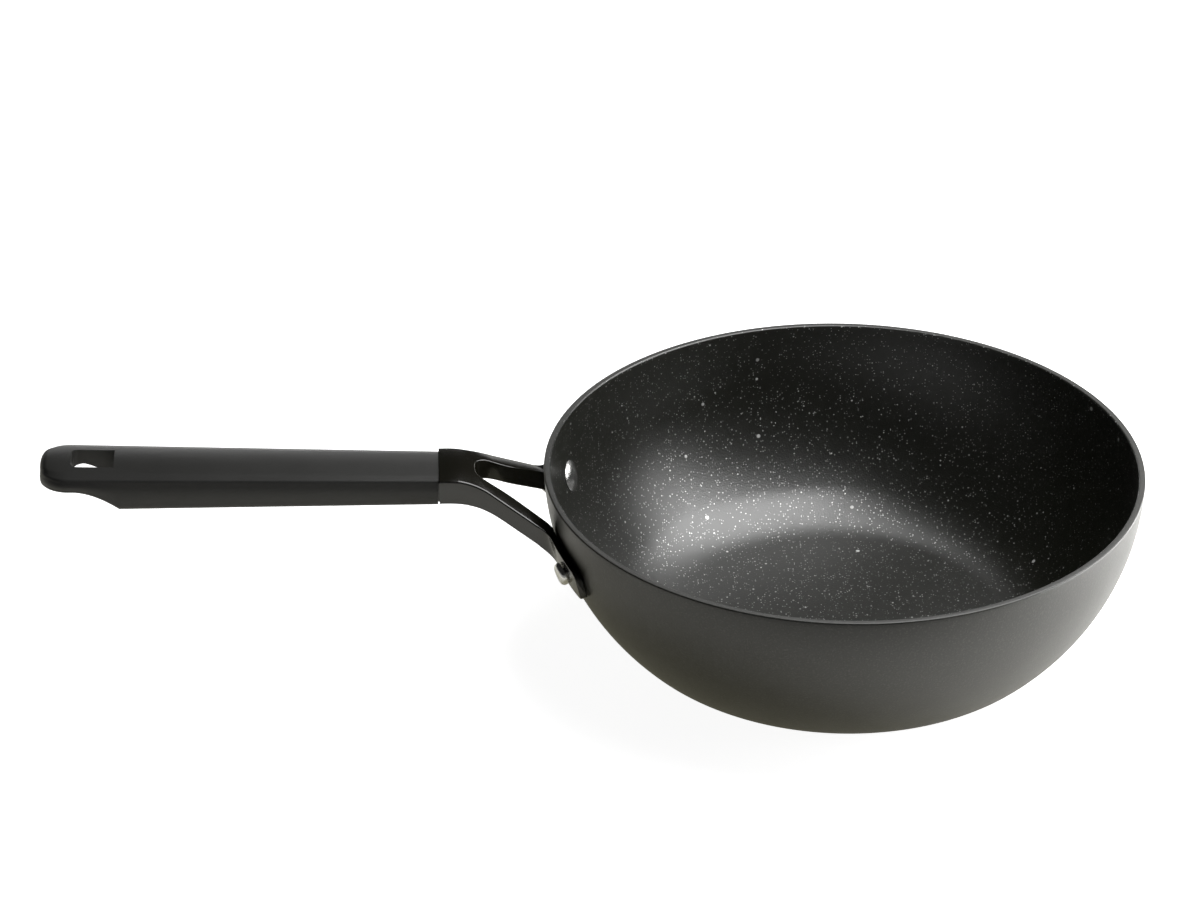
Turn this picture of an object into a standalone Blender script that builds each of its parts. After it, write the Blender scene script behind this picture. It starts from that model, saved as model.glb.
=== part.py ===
"""A 28 cm aluminium wok with one long handle.

The pan is one turned aluminium body with a steel disc pressed into its base.
A cast fork is riveted to the wall with two rivets, and its tang runs into a
plastic grip that one long screw holds on.

Units are metres. The base stands on Z = 0 with the bowl's axis on the Z axis,
and the handle points along -X.
"""

from math import acos, asin, atan2, cos, pi, radians, sin, tan

import bmesh
import bpy
from mathutils import Euler, Matrix, Vector

# Bowl
RIM_RADIUS = 0.140
BOWL_HEIGHT = 0.092
RIM_LEAN = radians(1.5)
UPPER_RADIUS = 0.116
LOWER_RADIUS = 0.045
WALL = 0.0032
FLOOR_THICKNESS = 0.0052
INNER_LOWER_RADIUS = 0.042
RIM_ROUND = 0.0007
BOWL_STEPS = 72
UPPER_ARC_STEPS = 9
LOWER_ARC_STEPS = 7
ROUND_STEPS = 3

# Steel disc in the base
DISC_RADIUS = 0.064
DISC_THICKNESS = 0.0012
DISC_HOLE_RADIUS = 0.0022
DISC_HOLE_RINGS = ((0.022, 8), (0.036, 14), (0.050, 20))
DISC_HOLE_SIDES = 10

# Clearances between touching pieces
FIT_GAP = 0.0003
PAD_GAP = 0.0004
HEAD_GAP = 0.0005

# Fork, measured out from the rim and up from the rim's plane
NECK_REACH = 0.0487
NECK_HALF_WIDTH = 0.0158
NECK_TOP = 0.00495
NECK_HEIGHT = 0.0123
NECK_LEVEL = 0.0030
NECK_STRAIGHT = 0.0090
NECK_CROWN = 0.0010
ARM_DROP = radians(29.0)
TOP_BEND_RADIUS = 0.0436
ARM_HEIGHT = 0.0094
INNER_WALL_LIFT = 0.0020
OUTER_SPREAD = radians(25.0)
OUTER_BEND_RADIUS = 0.0370
INNER_SPREAD = radians(29.2)
INNER_BEND_RUN = 0.0100
INNER_BEND_SHARE = 0.9
CROTCH_SETBACK = 0.0167
CROTCH_LENGTH = 0.0100
CROTCH_HALF_WIDTH = 0.0111
CROTCH_FLAT = 0.0072
CROTCH_LEAD = 0.0075
CROTCH_SPREAD = radians(17.0)
CROTCH_EASE = 1.2
ARM_CROWN = 0.0006
ARM_FALL = 0.0006
OUTER_TOP_ROUND = 0.0011
INNER_TOP_ROUND = 0.0008
EDGE_ROUND = 0.0009
PAD_THICKNESS = 0.0035
PAD_LOWER_EDGE = 0.0357
PAD_FLARE_INSET = 0.0020
PAD_FLARE_RUN = 0.0135
PAD_BEND = 0.0055
PAD_TAIL = 0.0160
PAD_CORNER = 0.0026
RIVET_SETBACK = 0.0143
RIVET_DEPTH = 0.0277
CHANNEL_WALL = 0.0024
CHANNEL_ROOF = 0.0028
NECK_STEPS = 3
BEND_STEPS = 10
CROTCH_STEPS = 6
ARM_STEPS = 6
PAD_BEND_STEPS = 4
PAD_STEPS = 2
PAD_CORNER_STEPS = 3

# Rivets
RIVET_SHANK_RADIUS = 0.0024
INNER_HEAD_RADIUS = 0.0076
INNER_HEAD_HEIGHT = 0.0018
OUTER_HEAD_RADIUS = 0.0054
OUTER_HEAD_HEIGHT = 0.0028
RIVET_STEPS = 24

# Grip, in its own frame: X outwards from the joint, Z up from its side edges
GRIP_TILT = radians(2.13)
GRIP_LENGTH = 0.1838
GRIP_DROP = 0.0005
GRIP_ROOT_HALF_WIDTH = 0.0150
GRIP_END_HALF_WIDTH = 0.0180
GRIP_ROOT_DEPTH = 0.0138
GRIP_END_DEPTH = 0.0176
GRIP_ROOT_CROWN = 0.0011
GRIP_END_CROWN = 0.0025
GRIP_BELLY = 0.0024
TAB_HOLLOW = 0.0034
GRIP_TOP_ROUND = 0.0016
GRIP_BOTTOM_ROUND = 0.0030
TAB_DEPTH = 0.0073
TAB_LENGTH = 0.0368
TAB_RISE_LENGTH = 0.0210
TAB_EASE = 1.8
HOLLOW_LEAD = 0.65
LIP_LENGTH = 0.0205
LIP_RUN = 0.0075
GRIP_CORNER = 0.0134
NOSE_TOP_ROUND = 0.0034
NOSE_BOTTOM_ROUND = 0.0010
SLOT_LENGTH = 0.0198
SLOT_WIDTH = 0.0160
SLOT_END_WEB = 0.0142
SLOT_CORNER = 0.0030

# Tang and grip screw
TANG_LENGTH = 0.060
TANG_HALF_WIDTH = 0.0090
TANG_HEIGHT = 0.0060
TANG_DEPTH = 0.0062
SCREW_SHANK_RADIUS = 0.0022
SCREW_ENGAGEMENT = 0.014
SCREW_HEAD_RADIUS = 0.0042
SCREW_HEAD_HEIGHT = 0.0028
SCREW_HEAD_SINK = 0.0010
SCREW_SOCKET_RADIUS = 0.0016
SCREW_SOCKET_DEPTH = 0.0016
SCREW_STEPS = 20


def clear_scene():
    for item in list(bpy.data.objects):
        bpy.data.objects.remove(item, do_unlink=True)


def new_collection(name):
    group = bpy.data.collections.new(name)
    bpy.context.scene.collection.children.link(group)
    return group


def new_material(name, colour, roughness, metallic):
    finish = bpy.data.materials.new(name)
    finish.use_nodes = True
    shader = finish.node_tree.nodes["Principled BSDF"]
    shader.inputs["Base Color"].default_value = (*colour, 1.0)
    shader.inputs["Roughness"].default_value = roughness
    shader.inputs["Metallic"].default_value = metallic
    finish.diffuse_color = (*colour, 1.0)
    return finish


def mesh_object(name, mesh, group, finish=None):
    item = bpy.data.objects.new(name, mesh)
    group.objects.link(item)
    if finish:
        mesh.materials.append(finish)
    return item


def mesh_from_bmesh(name, shape):
    mesh = bpy.data.meshes.new(name)
    shape.to_mesh(mesh)
    shape.free()
    return mesh


def smooth(item, angle=radians(35)):
    item.data.shade_smooth()
    item.data.set_sharp_from_angle(angle=angle)


def turned(name, profile, steps, group, finish=None):
    """Turn a profile of (radius, height) points, run down its outer side."""
    mesh = bpy.data.meshes.new(name)
    points = [(radius, 0.0, height) for radius, height in profile]
    edges = [(i, i + 1) for i in range(len(points) - 1)]
    mesh.from_pydata(points, edges, [])
    item = mesh_object(name, mesh, group, finish)
    screw = item.modifiers.new("turn", "SCREW")
    screw.steps = steps
    screw.render_steps = steps
    screw.use_merge_vertices = True
    screw.merge_threshold = 0.00001
    screw.use_smooth_shade = True
    return item


def cutter_look(item):
    item.display_type = "WIRE"
    item.hide_render = True
    return item


def boolean(item, other, operation="DIFFERENCE"):
    step = item.modifiers.new(other.name, "BOOLEAN")
    step.operation = operation
    step.solver = "EXACT"
    step.object = other


def between(start, end, share):
    return start + (end - start) * share


def arc(centre, radius, start, end, steps):
    """Points of a circle's arc, angles from the first axis."""
    turn = [start + (end - start) * i / steps for i in range(steps + 1)]
    return [(centre[0] + radius * cos(a), centre[1] + radius * sin(a)) for a in turn]


# Bowl
def base_slope(depth, upper, lower):
    """Slope, from level, where the upper arc of a wall meets its lower arc."""
    return acos((depth + upper * sin(RIM_LEAN) - lower) / (upper - lower))


def wall_profile(rim, depth, upper, lower):
    """Points from the rim down to the edge of the flat, as (radius, height)."""
    top = BOWL_HEIGHT
    slope = base_slope(depth, upper, lower)
    upper_centre = (rim - upper * cos(RIM_LEAN), top + upper * sin(RIM_LEAN))
    upper_arc = arc(upper_centre, upper, -RIM_LEAN, slope - pi / 2, UPPER_ARC_STEPS)
    joint = upper_arc[-1]
    lower_centre = (joint[0] - lower * sin(slope), joint[1] + lower * cos(slope))
    lower_arc = arc(lower_centre, lower, slope - pi / 2, -pi / 2, LOWER_ARC_STEPS)
    return upper_arc + lower_arc[1:]


def outer_lean(depth):
    """How far the outer wall leans from upright at a depth below the rim."""
    return asin(sin(RIM_LEAN) + depth / UPPER_RADIUS)


def outer_radius(depth):
    return RIM_RADIUS - UPPER_RADIUS * (cos(RIM_LEAN) - cos(outer_lean(depth)))


def build_bowl(group, finish):
    outer = wall_profile(RIM_RADIUS, BOWL_HEIGHT, UPPER_RADIUS, LOWER_RADIUS)
    inner = wall_profile(
        RIM_RADIUS - WALL,
        BOWL_HEIGHT - FLOOR_THICKNESS,
        UPPER_RADIUS - WALL,
        INNER_LOWER_RADIUS,
    )
    top = BOWL_HEIGHT - RIM_ROUND
    inner_round = arc(
        (RIM_RADIUS - WALL + RIM_ROUND, top), RIM_ROUND, pi, pi / 2, ROUND_STEPS
    )
    outer_round = arc(
        (RIM_RADIUS - RIM_ROUND, top), RIM_ROUND, pi / 2, 0.0, ROUND_STEPS
    )
    recess_radius = DISC_RADIUS + FIT_GAP
    recess_height = DISC_THICKNESS + FIT_GAP
    profile = [(0.0, FLOOR_THICKNESS)]
    profile += list(reversed(inner[1:]))
    profile += inner_round
    profile += outer_round
    profile += outer[1:]
    profile += [(recess_radius, 0.0), (recess_radius, recess_height)]
    profile += [(0.0, recess_height)]
    return turned("bowl", profile, BOWL_STEPS, group, finish)


def build_disc(group, cutters, finish):
    profile = [
        (0.0, DISC_THICKNESS),
        (DISC_RADIUS, DISC_THICKNESS),
        (DISC_RADIUS, 0.0),
        (0.0, 0.0),
    ]
    disc = turned("base_disc", profile, BOWL_STEPS, group, finish)
    holes = bmesh.new()
    for ring_radius, count in DISC_HOLE_RINGS:
        for i in range(count):
            turn = 2 * pi * i / count
            place = Matrix.Translation(
                (ring_radius * cos(turn), ring_radius * sin(turn), DISC_THICKNESS / 2)
            )
            bmesh.ops.create_cone(
                holes,
                cap_ends=True,
                segments=DISC_HOLE_SIDES,
                radius1=DISC_HOLE_RADIUS,
                radius2=DISC_HOLE_RADIUS,
                depth=DISC_THICKNESS * 3,
                matrix=place,
            )
    mesh = mesh_from_bmesh("disc_holes", holes)
    boolean(disc, cutter_look(mesh_object("disc_holes", mesh, cutters)))
    return disc


# Fork: places are (reach from the axis, side, height over the rim's plane)
NECK_END = RIM_RADIUS + NECK_REACH
BEND_START = NECK_END - NECK_LEVEL
PLAN_BEND = NECK_END - NECK_STRAIGHT
CROTCH_TIP = NECK_END - CROTCH_SETBACK
CROTCH_END = CROTCH_TIP - CROTCH_LENGTH


def place(reach, side, height):
    return Vector((-reach, side, BOWL_HEIGHT + height))


def side_line(reach, level, bend_radius):
    """Height of a line that runs level from the neck and then bends down."""
    run = BEND_START - reach
    bend_run = bend_radius * sin(ARM_DROP)
    if run <= 0:
        return level
    if run < bend_run:
        return level - bend_radius + (bend_radius**2 - run**2) ** 0.5
    return level - bend_radius * (1 - cos(ARM_DROP)) - (run - bend_run) * tan(ARM_DROP)


def top_line(reach):
    return side_line(reach, NECK_TOP, TOP_BEND_RADIUS)


def bottom_line(reach):
    """The underside: its bend is wider, so that the arm ends at its own height."""
    drop = ARM_HEIGHT / cos(ARM_DROP) - NECK_HEIGHT
    rise = tan(ARM_DROP) * sin(ARM_DROP) - (1 - cos(ARM_DROP))
    return side_line(reach, NECK_TOP - NECK_HEIGHT, TOP_BEND_RADIUS - drop / rise)


def flared_line(reach):
    """The underside, which turns down to the pad's lower edge."""
    start = RIM_RADIUS - PAD_FLARE_INSET
    if reach >= start:
        return bottom_line(reach)
    share = min((start - reach) / PAD_FLARE_RUN, 1.0)
    drop = bottom_line(start) + PAD_LOWER_EDGE
    return bottom_line(start) - drop * share * (2 - share)


def on_wall(azimuth, offset, line, lift=0.0):
    """The point of a lifted height line at an offset from the bowl's outer wall."""
    depth = 0.0
    for _ in range(12):
        lean = outer_lean(depth)
        radius = outer_radius(depth) + offset / cos(lean)
        depth = -line(radius * cos(azimuth)) - lift
    return radius * cos(azimuth), radius * sin(azimuth), -depth


def meet_wall(start, spread, offset, line):
    """Azimuth where a straight plan line reaches an offset from the wall."""
    low, high = 0.0, start[0]
    for _ in range(40):
        run = (low + high) / 2
        reach = start[0] - run * cos(spread)
        side = start[1] + run * sin(spread)
        depth = -line(reach)
        limit = outer_radius(depth) + offset / cos(outer_lean(depth))
        if (reach**2 + side**2) ** 0.5 > limit:
            low = run
        else:
            high = run
    return atan2(side, reach), (reach, side)


def mix(a, b, share):
    return tuple(p + (q - p) * share for p, q in zip(a, b))


def outer_plan(inset):
    """Plan of the outer edge down to the end of the neck's bend."""
    width = NECK_HALF_WIDTH - inset
    radius = OUTER_BEND_RADIUS + inset
    bend = []
    for i in range(BEND_STEPS + 1):
        turn = OUTER_SPREAD * i / BEND_STEPS
        bend.append((PLAN_BEND - radius * sin(turn), width + radius * (1 - cos(turn))))
    return bend


def crotch_edge(share):
    """A plan point of the rounded crotch, and its direction into the fork."""
    tip = Vector((CROTCH_TIP, 0.0))
    flat = Vector((CROTCH_TIP, CROTCH_FLAT))
    end = Vector((CROTCH_END, CROTCH_HALF_WIDTH))
    lead = end + Vector((1.0, -tan(CROTCH_SPREAD))) * CROTCH_LEAD
    first, middle, last = tip.lerp(flat, share), flat.lerp(lead, share), lead.lerp(end, share)
    near, far = first.lerp(middle, share), middle.lerp(last, share)
    along = (far - near).normalized()
    return near.lerp(far, share), Vector((along.y, -along.x))


def arm_edge(run):
    """A plan point of an arm's inner edge at a run past the crotch, and its direction."""
    slope = tan(CROTCH_SPREAD)
    last = tan(INNER_SPREAD)
    bent = min(run, INNER_BEND_RUN)
    turn = (last - slope) / INNER_BEND_RUN
    side = CROTCH_HALF_WIDTH + slope * bent + turn * bent**2 / 2 + last * (run - bent)
    return Vector((CROTCH_END - run, side)), Vector((slope + turn * bent, 1.0)).normalized()


def arm_run(offset, inset):
    """Run from the crotch to where an inset inner edge is at an offset from the wall."""
    point, inwards = arm_edge(INNER_BEND_RUN)
    azimuth, contact = meet_wall(point + inwards * inset, INNER_SPREAD, offset, top_line)
    return azimuth, CROTCH_END + inwards.x * inset - contact[0]


def inner_plan(inset):
    """Plan of the inner edge, along the middle and round the crotch."""
    shoulder = (CROTCH_TIP + INNER_TOP_ROUND + inset * CROTCH_EASE, 0.0)
    straight = BEND_STEPS - CROTCH_STEPS
    plan = [mix((PLAN_BEND, 0.0), shoulder, i / straight) for i in range(straight)]
    for i in range(CROTCH_STEPS + 1):
        point, inwards = crotch_edge(i / CROTCH_STEPS)
        plan.append(tuple(point + inwards * inset))
    return plan


def pad_azimuths():
    """Where the arm's outer edge meets the pad, the rivet and the pad's end."""
    corner, _ = meet_wall(
        outer_plan(0.0)[-1], OUTER_SPREAD, PAD_GAP + PAD_THICKNESS, top_line
    )
    rivet = corner + RIVET_SETBACK / RIM_RADIUS
    return corner, rivet, rivet + PAD_TAIL / RIM_RADIUS


def bend(first, corner, last, steps):
    """A curve from first to last that bends round a corner."""
    shares = [i / steps for i in range(steps + 1)]
    return [first.lerp(corner, t).lerp(corner.lerp(last, t), t) for t in shares]


def towards(start, end, distance):
    return start + (end - start).normalized() * distance


def rounded(corner, before, after, radius, steps):
    """Points that round one corner of a section."""
    first = towards(corner, before, radius)
    return bend(first, corner, towards(corner, after, radius), steps)


def section(corners, rounds, bulge, shoulder=None):
    """One ring of the fork, from its inner bottom edge round to its inner side.

    The inner top edge is rounded from the shoulder, or from a point on the top.
    """
    inner_bottom, outer_bottom, outer_top, inner_top = corners
    inner_low, outer_low, outer_high, inner_high = rounds
    shoulder = shoulder or towards(inner_top, outer_top, inner_high)
    ring = rounded(inner_bottom, inner_top, outer_bottom, inner_low, 2)
    ring += rounded(outer_bottom, inner_bottom, outer_top, outer_low, 2)
    ring += rounded(outer_top, outer_bottom, inner_top, outer_high, 3)
    top_start = ring[-1]
    for share in (1 / 3, 2 / 3):
        swell = Vector((0, 0, bulge * share * (1 - share)))
        ring.append(top_start.lerp(shoulder, share) + swell)
    ring += bend(shoulder, inner_top, towards(inner_top, inner_bottom, inner_high), 2)
    return ring


def fork_section(outer, inner, crown, fall=0.0, inwards=None):
    """A ring of the neck, or one of an arm with its inner edge rounded inwards."""
    lift = INNER_WALL_LIFT if inwards else 0.0
    corners = (
        place(*inner, bottom_line(inner[0]) + lift),
        place(*outer, flared_line(outer[0])),
        place(*outer, top_line(outer[0]) - fall),
        place(*inner, top_line(inner[0]) + crown),
    )
    if not inwards:
        return section(corners, (0.0, EDGE_ROUND, OUTER_TOP_ROUND, 0.0), crown)
    reach = inner[0] + inwards[0] * INNER_TOP_ROUND
    side = inner[1] + inwards[1] * INNER_TOP_ROUND
    shoulder = place(reach, side, top_line(reach) + crown)
    inner_low = EDGE_ROUND if inner[1] > 0 else 0.0
    rounds = (inner_low, EDGE_ROUND, OUTER_TOP_ROUND, INNER_TOP_ROUND)
    return section(corners, rounds, crown, shoulder)


def fork_rings():
    """Rings of one half of the fork, from the tang's end to the pad's end."""
    rings = []
    frame = grip_frame()
    joint = -FIT_GAP
    for along in (TANG_LENGTH, joint):
        low = -TANG_DEPTH - TANG_HEIGHT / 2
        high = low + TANG_HEIGHT
        corners = [
            frame @ Vector((along, 0.0, low)),
            frame @ Vector((along, -TANG_HALF_WIDTH, low)),
            frame @ Vector((along, -TANG_HALF_WIDTH, high)),
            frame @ Vector((along, 0.0, high)),
        ]
        rings.append(section(corners, (0.0, EDGE_ROUND, EDGE_ROUND, 0.0), 0.0))
    for i in range(NECK_STEPS):
        reach = NECK_END - NECK_STRAIGHT * i / NECK_STEPS
        rings.append(fork_section((reach, NECK_HALF_WIDTH), (reach, 0.0), NECK_CROWN))

    outer = outer_plan(0.0)
    inner = inner_plan(0.0)
    tip_index = BEND_STEPS - CROTCH_STEPS
    for i in range(BEND_STEPS + 1):
        share = i / BEND_STEPS
        crown = between(NECK_CROWN, ARM_CROWN, share)
        inwards = None
        if i >= tip_index:
            inwards = tuple(crotch_edge((i - tip_index) / CROTCH_STEPS)[1])
        rings.append(fork_section(outer[i], inner[i], crown, ARM_FALL * share, inwards))

    offset = PAD_GAP + PAD_THICKNESS
    corner, rivet, end = pad_azimuths()
    _, outer_corner = meet_wall(outer[-1], OUTER_SPREAD, offset, top_line)
    contact, inner_run = arm_run(PAD_GAP, 0.0)
    outer_run = Vector(outer_corner) - Vector(outer[-1])
    arm_end = Vector(outer_corner) - outer_run.normalized() * PAD_BEND
    for i in range(1, ARM_STEPS + 1):
        share = i / ARM_STEPS
        edge, inwards = arm_edge(inner_run * INNER_BEND_SHARE * share)
        spot = mix(outer[-1], arm_end, share)
        rings.append(fork_section(spot, edge, ARM_CROWN, ARM_FALL, tuple(inwards)))

    bend_end = corner + PAD_BEND / RIM_RADIUS
    for i in range(1, PAD_BEND_STEPS + 1):
        share = i / PAD_BEND_STEPS
        azimuth = contact + (bend_end - contact) * share
        low = bent_corner(arm_end, corner, bend_end, share, flared_line)
        high = bent_corner(arm_end, corner, bend_end, share, top_line)
        high.z -= ARM_FALL * (1 - share)
        rings.append(pad_section(low, high, azimuth, 0.0, ARM_CROWN * (1 - share)))
    corner_start = end - PAD_CORNER / RIM_RADIUS
    spots = [(between(bend_end, corner_start, i / PAD_STEPS), 0.0) for i in range(1, PAD_STEPS + 1)]
    for i in range(1, PAD_CORNER_STEPS + 1):
        turn = pi / 2 * i / PAD_CORNER_STEPS
        azimuth = corner_start + (end - corner_start) * sin(turn)
        spots.append((azimuth, PAD_CORNER * (1 - cos(turn))))
    for azimuth, inset in spots:
        low = place(*on_wall(azimuth, offset, flared_line, inset))
        high = place(*on_wall(azimuth, offset, top_line, -inset))
        rings.append(pad_section(low, high, azimuth, inset))
    return rings, len(rings) - 1, 2 + NECK_STEPS + tip_index


def bent_corner(arm_end, corner, bend_end, share, line):
    """The outer edge where it turns from the arm to the pad."""
    offset = PAD_GAP + PAD_THICKNESS
    first = place(arm_end[0], arm_end[1], line(arm_end[0]))
    middle = place(*on_wall(corner, offset, line))
    last = place(*on_wall(bend_end, offset, line))
    return first.lerp(middle, share).lerp(middle.lerp(last, share), share)


def pad_section(outer_bottom, outer_top, azimuth, inset, crown=0.0):
    """A ring of the pad, whose inner face follows the bowl's wall."""
    corners = (
        place(*on_wall(azimuth, PAD_GAP, flared_line, inset)),
        outer_bottom,
        outer_top,
        place(*on_wall(azimuth, PAD_GAP, top_line, crown - inset)),
    )
    return section(corners, (EDGE_ROUND,) * 4, 0.0)


def ladder(name, rings, tip, last):
    """Skin one half of the fork: its inner side is open on the middle plane."""
    shape = bmesh.new()
    rows = [[shape.verts.new(point) for point in ring] for ring in rings]
    count = len(rings[0])
    for i in range(last):
        for j in range(count - 1):
            quad = (rows[i][j], rows[i][j + 1], rows[i + 1][j + 1], rows[i + 1][j])
            if any(abs(corner.co.y) > 1e-7 for corner in quad):
                shape.faces.new(quad)
        if i >= tip:
            shape.faces.new((rows[i][-1], rows[i][0], rows[i + 1][0], rows[i + 1][-1]))
    shape.faces.new(list(reversed(rows[0])))
    shape.faces.new(rows[last])
    bmesh.ops.remove_doubles(shape, verts=shape.verts, dist=0.000002)
    bmesh.ops.dissolve_degenerate(shape, edges=shape.edges, dist=0.000002)
    return mesh_from_bmesh(name, shape)


def mirrored(item):
    mirror = item.modifiers.new("other_half", "MIRROR")
    mirror.use_axis = (False, True, False)
    mirror.merge_threshold = 0.00001
    mirror.use_mirror_merge = True


def channel_rings():
    """Rings of the hollow under the neck and one arm."""
    rings = []
    outer = outer_plan(CHANNEL_WALL)
    inner = inner_plan(CHANNEL_WALL)
    tip_index = BEND_STEPS - CROTCH_STEPS
    offset = PAD_GAP + PAD_THICKNESS + CHANNEL_WALL
    _, outer_end = meet_wall(outer[-1], OUTER_SPREAD, offset, top_line)
    _, inner_run = arm_run(offset, CHANNEL_WALL)
    stations = list(zip(outer, inner))
    for i in range(1, ARM_STEPS + 1):
        share = i / ARM_STEPS
        edge, inwards = arm_edge(inner_run * share)
        stations.append((mix(outer[-1], outer_end, share), edge + inwards * CHANNEL_WALL))
    for out, middle in stations:
        corners = (
            place(*middle, bottom_line(middle[0]) - ARM_HEIGHT),
            place(*out, bottom_line(out[0]) - ARM_HEIGHT),
            place(*out, top_line(out[0]) - CHANNEL_ROOF),
            place(*middle, top_line(middle[0]) - CHANNEL_ROOF),
        )
        rings.append(section(corners, (0.0, 0.0, EDGE_ROUND, 0.0), 0.0))
    return rings, len(rings) - 1, tip_index


def build_fork(group, cutters, finish):
    rings, last, tip = fork_rings()
    fork = mesh_object("fork", ladder("fork", rings, tip, last), group, finish)
    mirrored(fork)
    rings, last, tip = channel_rings()
    channel = mesh_object("channel", ladder("channel", rings, tip, last), cutters)
    mirrored(channel)
    boolean(fork, cutter_look(channel))
    return fork


# Rivets
def rivet_frame(side):
    """Frame on the bowl's outer wall: Z along the wall's outward normal."""
    _, azimuth, _ = pad_azimuths()
    azimuth *= side
    lean = outer_lean(RIVET_DEPTH)
    radius = outer_radius(RIVET_DEPTH)
    spot = place(radius * cos(azimuth), radius * sin(azimuth), -RIVET_DEPTH)
    outwards = Vector((-cos(azimuth) * cos(lean), sin(azimuth) * cos(lean), -sin(lean)))
    along = Vector((sin(azimuth), cos(azimuth), 0.0))
    across = outwards.cross(along)
    turn = Matrix((along, across, outwards)).transposed()
    return Matrix.Translation(spot) @ turn.to_4x4()


def build_rivets(group, cutters, finish, drilled):
    outer_seat = PAD_GAP + PAD_THICKNESS + FIT_GAP
    inner_seat = -WALL - HEAD_GAP
    top = outer_seat + OUTER_HEAD_HEIGHT
    flat = OUTER_HEAD_RADIUS - OUTER_HEAD_HEIGHT * 0.75
    head = arc((flat, outer_seat), OUTER_HEAD_HEIGHT * 0.75, pi / 2, 0.0, 4)
    lift = OUTER_HEAD_HEIGHT * 0.25
    profile = [(0.0, top)]
    profile += [(radius, height + lift) for radius, height in head]
    profile += [
        (OUTER_HEAD_RADIUS, outer_seat),
        (RIVET_SHANK_RADIUS, outer_seat),
        (RIVET_SHANK_RADIUS, inner_seat),
        (INNER_HEAD_RADIUS, inner_seat),
    ]
    dome_radius = (INNER_HEAD_RADIUS**2 + INNER_HEAD_HEIGHT**2) / (2 * INNER_HEAD_HEIGHT)
    dome_centre = inner_seat - INNER_HEAD_HEIGHT + dome_radius
    half_angle = asin(INNER_HEAD_RADIUS / dome_radius)
    dome = arc((0.0, dome_centre), dome_radius, half_angle - pi / 2, -pi / 2, 5)
    profile += dome[1:-1]
    profile += [(0.0, dome_centre - dome_radius)]
    for name, side in (("rivet_front", -1), ("rivet_rear", 1)):
        rivet = turned(name, profile, RIVET_STEPS, group, finish)
        rivet.matrix_world = rivet_frame(side)
        drill = bpy.data.meshes.new("drill")
        drill_shape = bmesh.new()
        bmesh.ops.create_cone(
            drill_shape,
            cap_ends=True,
            segments=RIVET_STEPS,
            radius1=RIVET_SHANK_RADIUS + FIT_GAP,
            radius2=RIVET_SHANK_RADIUS + FIT_GAP,
            depth=4 * (WALL + PAD_THICKNESS),
        )
        drill_shape.to_mesh(drill)
        drill_shape.free()
        hole = cutter_look(mesh_object(name + "_hole", drill, cutters))
        hole.matrix_world = rivet_frame(side)
        for item in drilled:
            boolean(item, hole)


# Grip
def grip_frame():
    """Frame of the grip: its joint with the neck, turned along the handle."""
    turn = Euler((0.0, -GRIP_TILT, pi)).to_matrix().to_4x4()
    spot = place(NECK_END + FIT_GAP, 0.0, NECK_TOP - GRIP_DROP)
    return Matrix.Translation(spot) @ turn


def grip_half_width(along):
    """Half of the grip's width, which widens outwards and ends in round corners."""
    width = between(GRIP_ROOT_HALF_WIDTH, GRIP_END_HALF_WIDTH, along / GRIP_LENGTH)
    return width - end_turn(along, GRIP_CORNER)


def end_turn(along, radius):
    """How far a round edge of this radius has turned in near the grip's end."""
    into = min(max(along - GRIP_LENGTH + radius, 0.0), radius)
    return radius - (radius**2 - into**2) ** 0.5


def grip_depth(along):
    """Depth of the side walls, which rise to a thin tab at the end."""
    full = between(GRIP_ROOT_DEPTH, GRIP_END_DEPTH, along / GRIP_LENGTH)
    rise = (along - GRIP_LENGTH + TAB_LENGTH) / TAB_RISE_LENGTH
    share = min(max(rise, 0.0), 1.0)
    return between(full, TAB_DEPTH, 1 - (1 - share) ** TAB_EASE)


def eased(share):
    """A share kept between 0 and 1, with soft ends."""
    share = min(max(share, 0.0), 1.0)
    return share * share * (3 - 2 * share)


def grip_belly(along):
    """How far the middle of the underside hangs below its edges, or is hollowed."""
    lip = eased((along - GRIP_LENGTH + LIP_LENGTH) / LIP_RUN)
    fade = (along - GRIP_LENGTH + TAB_LENGTH) / TAB_RISE_LENGTH + HOLLOW_LEAD
    return between(GRIP_BELLY, -TAB_HOLLOW * (1 - lip), eased(fade))


def grip_ring(along):
    width = grip_half_width(along)
    depth = grip_depth(along)
    share = along / GRIP_LENGTH
    crown = between(GRIP_ROOT_CROWN, GRIP_END_CROWN, share)
    belly = grip_belly(along) * width / GRIP_END_HALF_WIDTH
    top_round = min(GRIP_TOP_ROUND, width * 0.4)
    bottom_round = min(GRIP_BOTTOM_ROUND * depth / GRIP_ROOT_DEPTH, width * 0.4)
    half = []
    for i in range(4):
        side = (width - top_round) * i / 4
        half.append((side, crown * (1 - (side / width) ** 2)))
    half += arc((width - top_round, -top_round), top_round, pi / 2, 0.0, 4)
    half += arc(
        (width - bottom_round, -depth + bottom_round), bottom_round, 0.0, -pi / 2, 4
    )
    for i in range(3, 0, -1):
        side = (width - bottom_round) * i / 4
        half.append((side, -depth - belly * (1 - (side / (width - bottom_round)) ** 2)))
    half.append((0.0, -depth - belly))
    ring = half + [(-side, height) for side, height in reversed(half[1:-1])]
    top_drop = end_turn(along, NOSE_TOP_ROUND)
    bottom_rise = end_turn(along, NOSE_BOTTOM_ROUND)
    squeezed = []
    for side, height in ring:
        share = min(max(-height / depth, 0.0), 1.0)
        squeezed.append(Vector((along, side, height + between(-top_drop, bottom_rise, share))))
    return squeezed


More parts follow.
